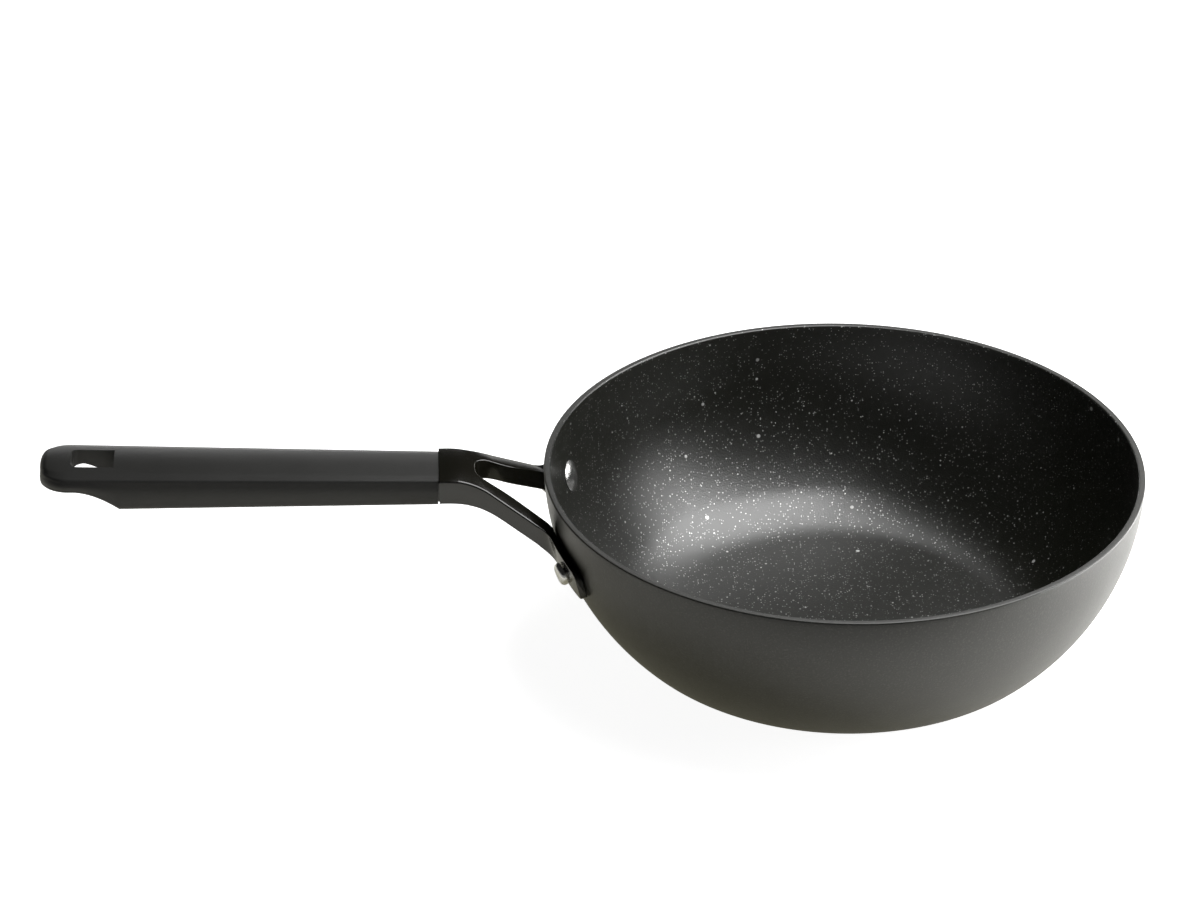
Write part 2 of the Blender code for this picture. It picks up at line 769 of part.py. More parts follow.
def grip_stations():
    nose = GRIP_LENGTH - GRIP_CORNER
    tab = GRIP_LENGTH - TAB_LENGTH
    rise_end = tab + TAB_RISE_LENGTH
    stations = [tab * i / 6 for i in range(7)]
    stations += [between(tab, rise_end, i / 7) for i in range(1, 8)]
    stations += [between(rise_end, nose, i / 2) for i in range(1, 3)]
    stations += [nose + GRIP_CORNER * sin(pi / 2 * i / 10) for i in range(1, 11)]
    return stations


def build_grip(group, cutters, finish):
    shape = bmesh.new()
    rows = [
        [shape.verts.new(point) for point in grip_ring(along)]
        for along in grip_stations()
    ]
    count = len(rows[0])
    for near, far in zip(rows, rows[1:]):
        for j in range(count):
            k = (j + 1) % count
            shape.faces.new((near[j], near[k], far[k], far[j]))
    shape.faces.new(list(reversed(rows[0])))
    shape.faces.new(rows[-1])
    bmesh.ops.recalc_face_normals(shape, faces=shape.faces)
    grip = mesh_object("grip", mesh_from_bmesh("grip", shape), group, finish)
    grip.matrix_world = grip_frame()
    for cutter in (slot_cutter(cutters), socket_cutter(cutters), screw_bore(cutters)):
        cutter.matrix_world = grip_frame()
        boolean(grip, cutter_look(cutter))
    return grip


def slot_start():
    return GRIP_LENGTH - SLOT_END_WEB - SLOT_LENGTH


def box(shape, low, high):
    size = Vector(high) - Vector(low)
    middle = (Vector(high) + Vector(low)) / 2
    fit = Matrix.Translation(middle) @ Matrix.Diagonal((*size, 1.0))
    return bmesh.ops.create_cube(shape, size=1.0, matrix=fit)["verts"]


def slot_cutter(cutters):
    """The hanging slot: square towards the pan, rounded towards the end."""
    shape = bmesh.new()
    start = slot_start()
    end = start + SLOT_LENGTH
    reach = GRIP_END_DEPTH * 2
    box(shape, (start, -SLOT_WIDTH / 2, -reach), (end, SLOT_WIDTH / 2, reach))
    corners = [
        edge
        for edge in shape.edges
        if all(abs(v.co.x - end) < 1e-6 for v in edge.verts)
        and abs(edge.verts[0].co.y - edge.verts[1].co.y) < 1e-6
    ]
    bmesh.ops.bevel(
        shape,
        geom=corners,
        offset=SLOT_CORNER,
        segments=5,
        affect="EDGES",
        profile=0.5,
    )
    return mesh_object("slot", mesh_from_bmesh("slot", shape), cutters)


def socket_cutter(cutters):
    shape = bmesh.new()
    half_height = TANG_HEIGHT / 2 + FIT_GAP
    half_width = TANG_HALF_WIDTH + FIT_GAP
    box(
        shape,
        (-TANG_HEIGHT, -half_width, -TANG_DEPTH - half_height),
        (TANG_LENGTH + FIT_GAP, half_width, -TANG_DEPTH + half_height),
    )
    return mesh_object("socket", mesh_from_bmesh("socket", shape), cutters)


def along_grip(shape, start, end, radius, sides):
    """A round bar along the grip's screw line."""
    fit = Matrix.Translation(((start + end) / 2, 0.0, -TANG_DEPTH))
    bmesh.ops.create_cone(
        shape,
        cap_ends=True,
        segments=sides,
        radius1=radius,
        radius2=radius,
        depth=end - start,
        matrix=fit @ Matrix.Rotation(pi / 2, 4, "Y"),
    )


def screw_head_start():
    """Where the underside of the screw's head sits, sunk in the slot's wall."""
    return slot_start() - SCREW_HEAD_SINK - SCREW_HEAD_HEIGHT


def screw_bore(cutters):
    shape = bmesh.new()
    seat = screw_head_start() - FIT_GAP
    bore = SCREW_SHANK_RADIUS + FIT_GAP
    counterbore = SCREW_HEAD_RADIUS + FIT_GAP
    along_grip(shape, seat, slot_start() + SLOT_LENGTH / 2, counterbore, SCREW_STEPS)
    head = mesh_object("counterbore", mesh_from_bmesh("counterbore", shape), cutters)
    head.matrix_world = grip_frame()
    cutter_look(head)
    shape = bmesh.new()
    along_grip(shape, TANG_LENGTH / 2, seat + FIT_GAP, bore, SCREW_STEPS)
    long_bore = mesh_object("screw_bore", mesh_from_bmesh("screw_bore", shape), cutters)
    boolean(long_bore, head, "UNION")
    return long_bore


def build_screw(group, cutters, finish, fork):
    """The long screw: turned about its own axis and laid along the grip."""
    tip = TANG_LENGTH - SCREW_ENGAGEMENT
    length = screw_head_start() - tip
    crown = SCREW_HEAD_HEIGHT
    chamfer = SCREW_SHANK_RADIUS * 0.4
    profile = [
        (0.0, crown - SCREW_SOCKET_DEPTH),
        (SCREW_SOCKET_RADIUS, crown - SCREW_SOCKET_DEPTH),
        (SCREW_SOCKET_RADIUS, crown),
    ]
    profile += arc(
        (SCREW_HEAD_RADIUS - crown * 0.6, crown * 0.4), crown * 0.6, pi / 2, 0.0, 3
    )
    profile += [
        (SCREW_HEAD_RADIUS, 0.0),
        (SCREW_SHANK_RADIUS, 0.0),
        (SCREW_SHANK_RADIUS, chamfer - length),
        (SCREW_SHANK_RADIUS - chamfer, -length),
        (0.0, -length),
    ]
    screw = turned("grip_screw", profile, SCREW_STEPS, group, finish)
    spot = Matrix.Translation((screw_head_start(), 0.0, -TANG_DEPTH))
    screw.matrix_world = grip_frame() @ spot @ Matrix.Rotation(pi / 2, 4, "Y")
    shape = bmesh.new()
    along_grip(
        shape, tip - FIT_GAP, TANG_LENGTH * 2, SCREW_SHANK_RADIUS + FIT_GAP, SCREW_STEPS
    )
    tapped = mesh_object("tapped_hole", mesh_from_bmesh("tapped_hole", shape), cutters)
    tapped.matrix_world = grip_frame()
    boolean(fork, cutter_look(tapped))
    return screw


def main():
    clear_scene()
    parts = new_collection("wok")
    cutters = new_collection("cutters")
    coating = new_material("dark_nonstick", (0.035, 0.035, 0.034), 0.45, 0.3)
    steel = new_material("base_steel", (0.55, 0.55, 0.54), 0.35, 1.0)
    black = new_material("black_enamel", (0.012, 0.012, 0.013), 0.3, 0.2)
    plastic = new_material("grip_plastic", (0.022, 0.022, 0.024), 0.55, 0.0)
    bright = new_material("rivet_aluminium", (0.78, 0.78, 0.77), 0.25, 1.0)
    zinc = new_material("screw_steel", (0.6, 0.6, 0.58), 0.3, 1.0)

    bowl = build_bowl(parts, coating)
    build_disc(parts, cutters, steel)
    fork = build_fork(parts, cutters, black)
    build_rivets(parts, cutters, bright, (bowl, fork))
    grip = build_grip(parts, cutters, plastic)
    build_screw(parts, cutters, zinc, fork)
    smooth(fork)
    smooth(grip)


main()
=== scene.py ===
# %% [markdown]
# # A 28 cm wok, dressed for its picture
# The solids of this wok are already made: a turned bowl, a steel disc in its
# base, a riveted fork and a plastic grip on one long screw. This lesson lays
# the looks over them. It re-makes each solid with finer steps, in the same
# place and to the same sizes, and gives it a finish made of nodes. All lengths
# are metres. The bowl stands on Z = 0 and the handle points along -X.

from math import acos, asin, atan2, cos, pi, radians, sin, tan

import bmesh
import bpy
from mathutils import Euler, Matrix, Vector


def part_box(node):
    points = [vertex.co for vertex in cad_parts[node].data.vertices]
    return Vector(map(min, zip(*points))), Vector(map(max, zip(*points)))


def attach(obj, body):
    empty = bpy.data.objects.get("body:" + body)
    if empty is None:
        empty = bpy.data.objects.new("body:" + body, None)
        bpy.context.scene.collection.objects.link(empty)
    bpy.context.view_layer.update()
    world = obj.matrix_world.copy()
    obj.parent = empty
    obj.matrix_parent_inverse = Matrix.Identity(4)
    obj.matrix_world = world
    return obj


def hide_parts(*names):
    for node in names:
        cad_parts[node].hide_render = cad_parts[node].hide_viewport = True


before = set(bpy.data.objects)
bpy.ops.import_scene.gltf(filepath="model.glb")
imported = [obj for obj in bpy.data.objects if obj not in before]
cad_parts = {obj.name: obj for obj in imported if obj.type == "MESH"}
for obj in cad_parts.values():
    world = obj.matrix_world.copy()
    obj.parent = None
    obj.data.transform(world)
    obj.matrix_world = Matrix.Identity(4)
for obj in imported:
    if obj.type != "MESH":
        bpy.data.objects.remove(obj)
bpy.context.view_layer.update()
print("solids:", ", ".join(sorted(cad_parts)))

# %% [markdown]
# ## Camera
# A picture can only match if the camera stands where the photographer's did. A
# long lens keeps the rim's ellipse nearly symmetric, and the camera looks down
# by about 30 degrees. Its place was worked out from the rim's ellipse, so the
# script only states it.

# %% Camera
CAMERA_PLACE = (-0.19479, -1.81009, 1.14133)
CAMERA_DEGREES = (60.18, 0.0, -2.56)
CAMERA_LENS = 135.0
SENSOR_WIDTH = 36.0


def place_camera():
    data = bpy.data.cameras.new("camera")
    data.lens = CAMERA_LENS
    data.sensor_width = SENSOR_WIDTH
    data.clip_start = 0.05
    data.clip_end = 60.0
    camera = bpy.data.objects.new("camera", data)
    bpy.context.scene.collection.objects.link(camera)
    camera.location = CAMERA_PLACE
    camera.rotation_euler = [radians(angle) for angle in CAMERA_DEGREES]
    bpy.context.scene.camera = camera


place_camera()
print("camera looks down by", round(90 - CAMERA_DEGREES[0], 1), "degrees")

# %% [markdown]
# ## Node maths in Python
# A finish is a small network of nodes. Adding each node by hand hides the idea
# behind the clicks, so one class wraps an output socket and lets Python's own
# signs add the Math nodes: `1 - mask` reads as it works. Every other kind of
# node comes from one method, `node`, which takes the node's type, its settings
# and what goes into its sockets.

# %% The wire class
class Wire:
    """An output socket. Sums on it add Math nodes to the same tree."""

    def __init__(self, tree, socket=None):
        self.tree = tree
        self.socket = socket

    def node(self, kind, settings=None, sockets=None, out=0):
        """Add a node, set it up, fill its sockets and return one output."""
        made = self.tree.nodes.new(kind)
        for name, value in (settings or {}).items():
            setattr(made, name, value)
        for name, value in (sockets or {}).items():
            self.feed(made.inputs[name], value)
        if not made.outputs:
            return made
        return Wire(self.tree, made.outputs[out])

    def feed(self, socket, value):
        if isinstance(value, Wire):
            self.tree.links.new(value.socket, socket)
        else:
            socket.default_value = value

    def math(self, operation, *values):
        sockets = dict(enumerate(values))
        return self.node("ShaderNodeMath", {"operation": operation}, sockets)

    def __add__(self, other):
        return self.math("ADD", self, other)

    __radd__ = __add__

    def __mul__(self, other):
        return self.math("MULTIPLY", self, other)

    __rmul__ = __mul__

    def __sub__(self, other):
        return self.math("SUBTRACT", self, other)

    def __rsub__(self, other):
        return self.math("SUBTRACT", other, self)

    def maximum(self, other):
        return self.math("MAXIMUM", self, other)

    def minimum(self, other):
        return self.math("MINIMUM", self, other)

    def power(self, other):
        return self.math("POWER", self, other)

    def part(self, output):
        """Another output of the node that this wire leaves."""
        return Wire(self.tree, self.socket.node.outputs[output])

    def ramped(self, low, high):
        """0 below low, 1 above high and a smooth step between them."""
        settings = {"interpolation_type": "SMOOTHSTEP", "clamp": True}
        sockets = {"Value": self, "From Min": low, "From Max": high}
        return self.node("ShaderNodeMapRange", settings, sockets)


print("a wire can add, subtract, multiply and be ramped")

# %% [markdown]
# ## Finishes
# Each finish starts from the same few lines: a material with one Principled
# shader. What is the same all over, such as the specular level, is set on the
# shader's own socket. What varies over the surface comes from patterns on
# Object coordinates, which sit in the material like grain in wood and so need
# no unwrapping.

# %% Helpers for finishes
MIX_SHARE, MIX_FIRST, MIX_SECOND = 0, 6, 7
MIX_RESULT = 2


def new_finish(name, metallic=0.0, specular=0.5, ior=1.5):
    """A material, its tree as a wire, and its Principled shader."""
    finish = bpy.data.materials.new(name)
    finish.use_nodes = True
    shader = finish.node_tree.nodes["Principled BSDF"]
    shader.inputs["Metallic"].default_value = metallic
    shader.inputs["Specular IOR Level"].default_value = specular
    shader.inputs["IOR"].default_value = ior
    return finish, Wire(finish.node_tree), shader


def object_place(tree):
    return tree.node("ShaderNodeTexCoord", out="Object")


def noise(tree, place, scale, detail=2.0, roughness=0.5):
    sockets = {"Vector": place, "Scale": scale, "Detail": detail, "Roughness": roughness}
    return tree.node("ShaderNodeTexNoise", {}, sockets)


def blend_colours(tree, share, first, second):
    """A Mix node on colours: first where the share is 0, second where it is 1."""
    first, second = (end if isinstance(end, Wire) else (*end, 1.0) for end in (first, second))
    sockets = {MIX_SHARE: share, MIX_FIRST: first, MIX_SECOND: second}
    return tree.node("ShaderNodeMix", {"data_type": "RGBA"}, sockets, out=MIX_RESULT)


def raise_grain(tree, shader, height, distance):
    """A Bump node that turns a height into small slopes."""
    sockets = {"Height": height, "Distance": distance, "Strength": 1.0}
    bump = tree.node("ShaderNodeBump", {}, sockets)
    tree.feed(shader.inputs["Normal"], bump)


print("a colour Mix node has its two colours on sockets", MIX_FIRST, "and", MIX_SECOND)

# %% [markdown]
# ## Speckled coating
# The inside is a black non-stick coat with white grains mixed in: very many
# tiny ones, some larger, and a few flakes two millimetres across. A noise
# pattern would give clouds, not grains. A Voronoi pattern gives one point in
# each cell and the distance to it, so a radius less that distance is above
# zero on a grain. The cell's own random colour decides whether it has a grain,
# how large it is and how bright.

# %% A layer of grains
EDGE_OUTSIDE = 0.2
DIMMEST_GRAIN = 0.4


def grains(tree, place, scale, share, size, offset, soft):
    """A mask of round grains: a share of the cells hold one, up to a size."""
    shifted = tree.node(
        "ShaderNodeVectorMath",
        {"operation": "ADD"},
        {0: place, 1: (offset, 2 * offset, -offset)},
    )
    sockets = {"Vector": shifted, "Scale": scale}
    distance = tree.node("ShaderNodeTexVoronoi", {}, sockets, out="Distance")
    chance = tree.node("ShaderNodeSeparateColor", {}, {"Color": distance.part("Color")})
    bright = chance.part("Green")
    radius = (chance - (1 - share)) * (size * scale / share)
    edge = soft * size * scale
    mask = (radius - distance).ramped(-edge * EDGE_OUTSIDE, edge * (1 - EDGE_OUTSIDE))
    return mask * (bright * (1 - DIMMEST_GRAIN) + DIMMEST_GRAIN)


print("the dimmest grain has", DIMMEST_GRAIN, "of the brightness of the brightest")

# %% [markdown]
# Three layers at three scales give the mix of sizes. The grains are bits of
# metal: they flash where the coat mirrors a lamp and stay dim elsewhere, so
# their mask drives Metallic as well as the colour. The larger ones are duller
# and whiter. Between the grains the coat is nearly black, and a soft mottle
# changes its colour and its gloss.

# %% Speckled coating
COAT_IOR = 1.9
COAT_BLACK = (0.003, 0.0035, 0.0015)
COAT_MOTTLED = (0.006, 0.0065, 0.003)
GRAIN_WHITE = (0.80, 0.80, 0.78)
TINY_GAIN = 3.0
TINY_METAL = 0.9
SMALL_METAL = 0.6
FLAKE_METAL = 0.4


def speckled_coating():
    finish, tree, shader = new_finish("speckled_coating", ior=COAT_IOR)
    place = object_place(tree)
    tiny = grains(tree, place, scale=900.0, share=0.85, size=0.00034, offset=0.11, soft=0.15)
    small = grains(tree, place, scale=380.0, share=0.40, size=0.00050, offset=0.37, soft=0.2)
    flakes = grains(tree, place, scale=110.0, share=0.25, size=0.00125, offset=0.73, soft=0.3)
    specks = tiny.maximum(small).maximum(flakes)
    tiny_metal = (tiny * TINY_GAIN).minimum(TINY_METAL)
    metal = tiny_metal.maximum(small * SMALL_METAL).maximum(flakes * FLAKE_METAL)
    mottle = noise(tree, place, 160.0, 3.0)
    coat = blend_colours(tree, mottle, COAT_BLACK, COAT_MOTTLED)
    tree.feed(shader.inputs["Base Color"], blend_colours(tree, specks, coat, GRAIN_WHITE))
    tree.feed(shader.inputs["Metallic"], metal)
    tree.feed(shader.inputs["Roughness"], mottle * 0.08 + 0.29 - specks * 0.03)
    sand = noise(tree, place, 1300.0)
    raise_grain(tree, shader, sand + specks * 0.5, 0.00009)
    return finish


coating = speckled_coating()
print("coating:", len(coating.node_tree.nodes), "nodes")

# %% [markdown]
# ## Outer coat
# Outside, the bowl has a rougher coat, a warm dark grey with a sandy grain. A
# fine noise moves its colour a little and lifts its surface by some hundredths
# of a millimetre, which breaks the light up as the real coat does.

# %% Outer coat
OUTER_BLACK = (0.007, 0.007, 0.004)
OUTER_CLOUDED = (0.011, 0.011, 0.007)
OUTER_SAND = (0.034, 0.033, 0.025)


def outer_coat():
    finish, tree, shader = new_finish("outer_coat", specular=0.34, ior=COAT_IOR)
    place = object_place(tree)
    sand = noise(tree, place, 1100.0)
    cloud = noise(tree, place, 60.0, 3.0)
    dark = blend_colours(tree, cloud, OUTER_BLACK, OUTER_CLOUDED)
    colour = blend_colours(tree, sand.ramped(0.5, 0.75), dark, OUTER_SAND)
    tree.feed(shader.inputs["Base Color"], colour)
    tree.feed(shader.inputs["Roughness"], cloud * 0.08 + 0.34)
    raise_grain(tree, shader, sand, 0.00006)
    return finish


outside = outer_coat()
print("outer coat:", len(outside.node_tree.nodes), "nodes")

# %% [markdown]
# ## Rim land
# The rim is cut flat after coating and sprayed over thinly, so it looks lighter
# than both sides. Fine rings from the lathe run round it: a noise that reads
# only the distance from the axis draws them.

# %% Rim land
LAND_DARK = (0.035, 0.035, 0.033)
LAND_LIGHT = (0.085, 0.085, 0.080)


def ring_pattern(tree, place, scale):
    """Fine rings about the Z axis, from the distance to it."""
    across = tree.node("ShaderNodeSeparateXYZ", {}, {"Vector": place})
    side = across.part("Y")
    radius = (across * across + side * side).power(0.5)
    spot = tree.node("ShaderNodeCombineXYZ", {}, {"X": radius})
    return noise(tree, spot, scale)


def rim_land():
    finish, tree, shader = new_finish("rim_land")
    place = object_place(tree)
    rings = ring_pattern(tree, place, 4000.0)
    sand = noise(tree, place, 900.0)
    tree.feed(shader.inputs["Base Color"], blend_colours(tree, sand, LAND_DARK, LAND_LIGHT))
    tree.feed(shader.inputs["Roughness"], rings * 0.1 + 0.40)
    raise_grain(tree, shader, rings * 0.4 + sand * 0.6, 0.00004)
    return finish


rim_finish = rim_land()
print("rim land:", len(rim_finish.node_tree.nodes), "nodes")

# %% [markdown]
# ## Black enamel, plastic and bright metal
# The fork is enamelled cast metal: black, half glossy, with a faint orange
# peel. The grip is moulded plastic with a fine spark-eroded grain. The rivets
# are polished aluminium, the disc is brushed steel and the screw is plated.

# %% Enamel and plastic
ENAMEL_DARK = (0.005, 0.005, 0.003)
ENAMEL_LIGHT = (0.009, 0.008, 0.005)
PLASTIC_DARK = (0.027, 0.027, 0.025)
PLASTIC_LIGHT = (0.037, 0.037, 0.035)


def black_enamel():
    finish, tree, shader = new_finish("black_enamel", specular=0.9)
    place = object_place(tree)
    peel = noise(tree, place, 420.0)
    cloud = noise(tree, place, 45.0)
    tree.feed(shader.inputs["Base Color"], blend_colours(tree, cloud, ENAMEL_DARK, ENAMEL_LIGHT))
    tree.feed(shader.inputs["Roughness"], cloud * 0.06 + 0.13)
    raise_grain(tree, shader, peel, 0.00004)
    return finish


def grip_plastic():
    finish, tree, shader = new_finish("matt_black_plastic", specular=0.6)
    place = object_place(tree)
    grain = noise(tree, place, 1500.0, 1.0)
    cloud = noise(tree, place, 30.0, 3.0)
    colour = blend_colours(tree, cloud, PLASTIC_DARK, PLASTIC_LIGHT)
    tree.feed(shader.inputs["Base Color"], colour)
    tree.feed(shader.inputs["Roughness"], cloud * 0.06 + 0.40)
    raise_grain(tree, shader, grain, 0.00004)
    return finish


enamel = black_enamel()
plastic = grip_plastic()
print("made", enamel.name, "and", plastic.name)

# %% Bright metals
ALUMINIUM_DARK = (0.68, 0.68, 0.66)
ALUMINIUM_LIGHT = (0.86, 0.86, 0.84)
PLATED_DARK = (0.45, 0.45, 0.43)
PLATED_LIGHT = (0.66, 0.66, 0.62)
DISC_DARK = (0.42, 0.42, 0.41)
DISC_LIGHT = (0.62, 0.62, 0.60)


def bright_metal(name, dark, light, rough, scratch_scale):
    """Bare metal with fine scratches that change its colour and its gloss."""
    finish, tree, shader = new_finish(name, metallic=1.0)
    place = object_place(tree)
    scratch = noise(tree, place, scratch_scale, 4.0, 0.7)
    wear = noise(tree, place, 250.0)
    tree.feed(shader.inputs["Base Color"], blend_colours(tree, scratch, dark, light))
    tree.feed(shader.inputs["Roughness"], wear * 0.15 + rough)
    raise_grain(tree, shader, scratch, 0.00002)
    return finish


def brushed_disc():
    finish, tree, shader = new_finish("brushed_disc", metallic=1.0)
    place = object_place(tree)
    rings = ring_pattern(tree, place, 2600.0)
    smudge = noise(tree, place, 40.0, 3.0)
    tree.feed(shader.inputs["Base Color"], blend_colours(tree, rings, DISC_DARK, DISC_LIGHT))
    tree.feed(shader.inputs["Roughness"], rings * 0.15 + smudge * 0.1 + 0.22)
    raise_grain(tree, shader, rings, 0.00003)
    return finish


aluminium = bright_metal("polished_aluminium", ALUMINIUM_DARK, ALUMINIUM_LIGHT, 0.16, 900.0)
plated = bright_metal("plated_steel", PLATED_DARK, PLATED_LIGHT, 0.22, 1200.0)
disc_steel = brushed_disc()
print("made", aluminium.name, plated.name, disc_steel.name)

# %% [markdown]
# ## A lathe made of Geometry Nodes
# The bowl, the disc, the rivets and the screw are all turned: one outline goes
# round one axis. The Screw modifier can do that, and so can spinning a mesh in
# code. Here a Geometry Nodes tree does it once for all of them: it sweeps the
# outline round a small circle, closes the poles on the axis by merging doubles,
# and sets the finish. A sweep turns the outline's Y downwards, so heights go in
# with a minus sign.

# %% The lathe tree
PATH_RADIUS = 0.1
MERGE_DISTANCE = 0.000004


def new_tree(name, inputs):
    """An empty geometry tree with named inputs, as (tree wire, inputs by name)."""
    tree = bpy.data.node_groups.new(name, "GeometryNodeTree")
    tree.is_modifier = True
    face = tree.interface
    face.new_socket("Geometry", in_out="INPUT", socket_type="NodeSocketGeometry")
    for label, kind, value in inputs:
        socket = face.new_socket(label, in_out="INPUT", socket_type="NodeSocket" + kind)
        if value is not None:
            socket.default_value = value
    face.new_socket("Geometry", in_out="OUTPUT", socket_type="NodeSocketGeometry")
    wire = Wire(tree)
    entry = tree.nodes.new("NodeGroupInput")
    given = {socket.name: Wire(tree, socket) for socket in entry.outputs if socket.name}
    return wire, given


def finish_tree(wire, shape, material):
    """End a tree: real geometry, one finish, and the group's output."""
    real = wire.node("GeometryNodeRealizeInstances", {}, {"Geometry": shape})
    dressed = wire.node("GeometryNodeSetMaterial", {}, {"Geometry": real, "Material": material})
    wire.node("NodeGroupOutput", {}, {"Geometry": dressed})
    return wire.tree


def lathe_tree():
    wire, given = new_tree("lathe", [("Steps", "Int", 96), ("Material", "Material", None)])
    outline = wire.node("GeometryNodeMeshToCurve", {}, {"Mesh": given["Geometry"]})
    path = wire.node(
        "GeometryNodeCurvePrimitiveCircle",
        {"mode": "RADIUS"},
        {"Resolution": given["Steps"], "Radius": PATH_RADIUS},
    )
    swept = wire.node("GeometryNodeCurveToMesh", {}, {"Curve": path, "Profile Curve": outline})
    closed = wire.node(
        "GeometryNodeMergeByDistance", {}, {"Geometry": swept, "Distance": MERGE_DISTANCE}
    )
    return finish_tree(wire, closed, given["Material"])


lathe = lathe_tree()
print("lathe inputs:", [s.name for s in lathe.interface.items_tree if s.in_out == "INPUT"])


# %% Running a tree
def set_input(modifier, label, value):
    """Set a tree's input by its identifier, found from its name."""
    for item in modifier.node_group.interface.items_tree:
        if item.in_out == "INPUT" and item.name == label:
            modifier[item.identifier] = value


def plain_object(name, mesh):
    item = bpy.data.objects.new(name, mesh)
    bpy.context.scene.collection.objects.link(item)
    return item


def poured(name, shape):
    """An object with the faces of a bmesh, which is freed."""
    mesh = bpy.data.meshes.new(name)
    shape.to_mesh(mesh)
    shape.free()
    return plain_object(name, mesh)


def baked(item):
    """The evaluated shape of an object as a plain mesh on a new object."""
    bpy.context.view_layer.update()
    graph = bpy.context.evaluated_depsgraph_get()
    mesh = bpy.data.meshes.new_from_object(item.evaluated_get(graph))
    name = item.name
    old = item.data
    bpy.data.objects.remove(item, do_unlink=True)
    bpy.data.meshes.remove(old)
    mesh.name = name
    return plain_object(name, mesh)


def run_tree(name, tree, mesh, **inputs):
    item = plain_object(name, mesh)
    modifier = item.modifiers.new(name, "NODES")
    modifier.node_group = tree
    for label, value in inputs.items():
        set_input(modifier, label, value)
    return baked(item)


print("a tree runs once and leaves a plain mesh")

# %% Cleaning a piece
DOUBLES = 0.000001
SHARP_ANGLE = radians(35.0)


def tidy(item):
    """Merge doubles, turn all faces outwards and smooth all but sharp edges."""
    shape = bmesh.new()
    shape.from_mesh(item.data)
    bmesh.ops.remove_doubles(shape, verts=shape.verts, dist=DOUBLES)
    bmesh.ops.dissolve_degenerate(shape, edges=shape.edges, dist=DOUBLES)
    bmesh.ops.recalc_face_normals(shape, faces=shape.faces)
    open_edges = sum(1 for edge in shape.edges if len(edge.link_faces) != 2)
    shape.to_mesh(item.data)
    shape.free()
    item.data.shade_smooth()
    item.data.set_sharp_from_angle(angle=SHARP_ANGLE)
    triangles = sum(len(face.vertices) - 2 for face in item.data.polygons)
    print(item.name, "triangles:", triangles, "open edges:", open_edges)
    return item


print("edges over", round(SHARP_ANGLE * 180 / pi), "degrees stay sharp")


# %% Turning an outline
def turned(name, outline, steps, material):
    """Send an outline of (radius, height) points through the lathe."""
    mesh = bpy.data.meshes.new(name + "_outline")
    points = [(radius - PATH_RADIUS, -height, 0.0) for radius, height in outline]
    edges = [(i, i + 1) for i in range(len(points) - 1)]
    mesh.from_pydata(points, edges, [])
    return run_tree(name, lathe, mesh, Steps=steps, Material=material)


print("the path of the lathe has a radius of", round(1000 * PATH_RADIUS), "mm")

# %% [markdown]
# ## Bowl
# The bowl is one thick piece of aluminium, turned to two arcs: a wide one for
# the wall and a tight one that rolls into the flat floor. The inside has its own
# pair of arcs, so the wall is thinner than the floor. The outline runs up the
# inside, over the flat rim and down the outside, then round the recess in the
# base that holds the steel disc.

# %% The two arcs of the wall
RIM_RADIUS = 0.140
BOWL_HEIGHT = 0.092
RIM_LEAN = radians(1.5)
UPPER_RADIUS = 0.116
LOWER_RADIUS = 0.045
UPPER_ARC_STEPS = 28
LOWER_ARC_STEPS = 22


def arc(centre, radius, start, end, steps):
    turn = [start + (end - start) * i / steps for i in range(steps + 1)]
    return [(centre[0] + radius * cos(a), centre[1] + radius * sin(a)) for a in turn]


def wall_outline(rim, depth, upper, lower):
    """Points from the rim down to the edge of the flat, as (radius, height)."""
    slope = acos((depth + upper * sin(RIM_LEAN) - lower) / (upper - lower))
    centre = (rim - upper * cos(RIM_LEAN), BOWL_HEIGHT + upper * sin(RIM_LEAN))
    upper_arc = arc(centre, upper, -RIM_LEAN, slope - pi / 2, UPPER_ARC_STEPS)
    joint = upper_arc[-1]
    centre = (joint[0] - lower * sin(slope), joint[1] + lower * cos(slope))
    return upper_arc + arc(centre, lower, slope - pi / 2, -pi / 2, LOWER_ARC_STEPS)[1:]


outer_wall = wall_outline(RIM_RADIUS, BOWL_HEIGHT, UPPER_RADIUS, LOWER_RADIUS)
print("the flat of the base has a radius of", round(1000 * outer_wall[-1][0], 1), "mm")

# %% Outline of the bowl
WALL = 0.0032
FLOOR_THICKNESS = 0.0052
INNER_LOWER_RADIUS = 0.042
RIM_ROUND = 0.0007
RIM_ROUND_STEPS = 7
DISC_RADIUS = 0.064
DISC_THICKNESS = 0.0012
FIT_GAP = 0.0003
BOWL_STEPS = 224


def bowl_outline():
    inner_rim = RIM_RADIUS - WALL
    inner = wall_outline(
        inner_rim, BOWL_HEIGHT - FLOOR_THICKNESS, UPPER_RADIUS - WALL, INNER_LOWER_RADIUS
    )
    top = BOWL_HEIGHT - RIM_ROUND
    flat = inner[-1][0]
    outline = [(flat * third / 3, FLOOR_THICKNESS) for third in range(3)]
    outline += reversed(inner[1:])
    outline += arc((inner_rim + RIM_ROUND, top), RIM_ROUND, pi, pi / 2, RIM_ROUND_STEPS)
    outline += arc((RIM_RADIUS - RIM_ROUND, top), RIM_ROUND, pi / 2, 0.0, RIM_ROUND_STEPS)
    outline += outer_wall[1:]
    recess = DISC_RADIUS + FIT_GAP
    height = DISC_THICKNESS + FIT_GAP
    return outline + [(recess, 0.0), (recess, height), (recess / 2, height), (0.0, height)]


bowl = turned("wok_bowl", bowl_outline(), BOWL_STEPS, coating)
print("outline points:", len(bowl_outline()))

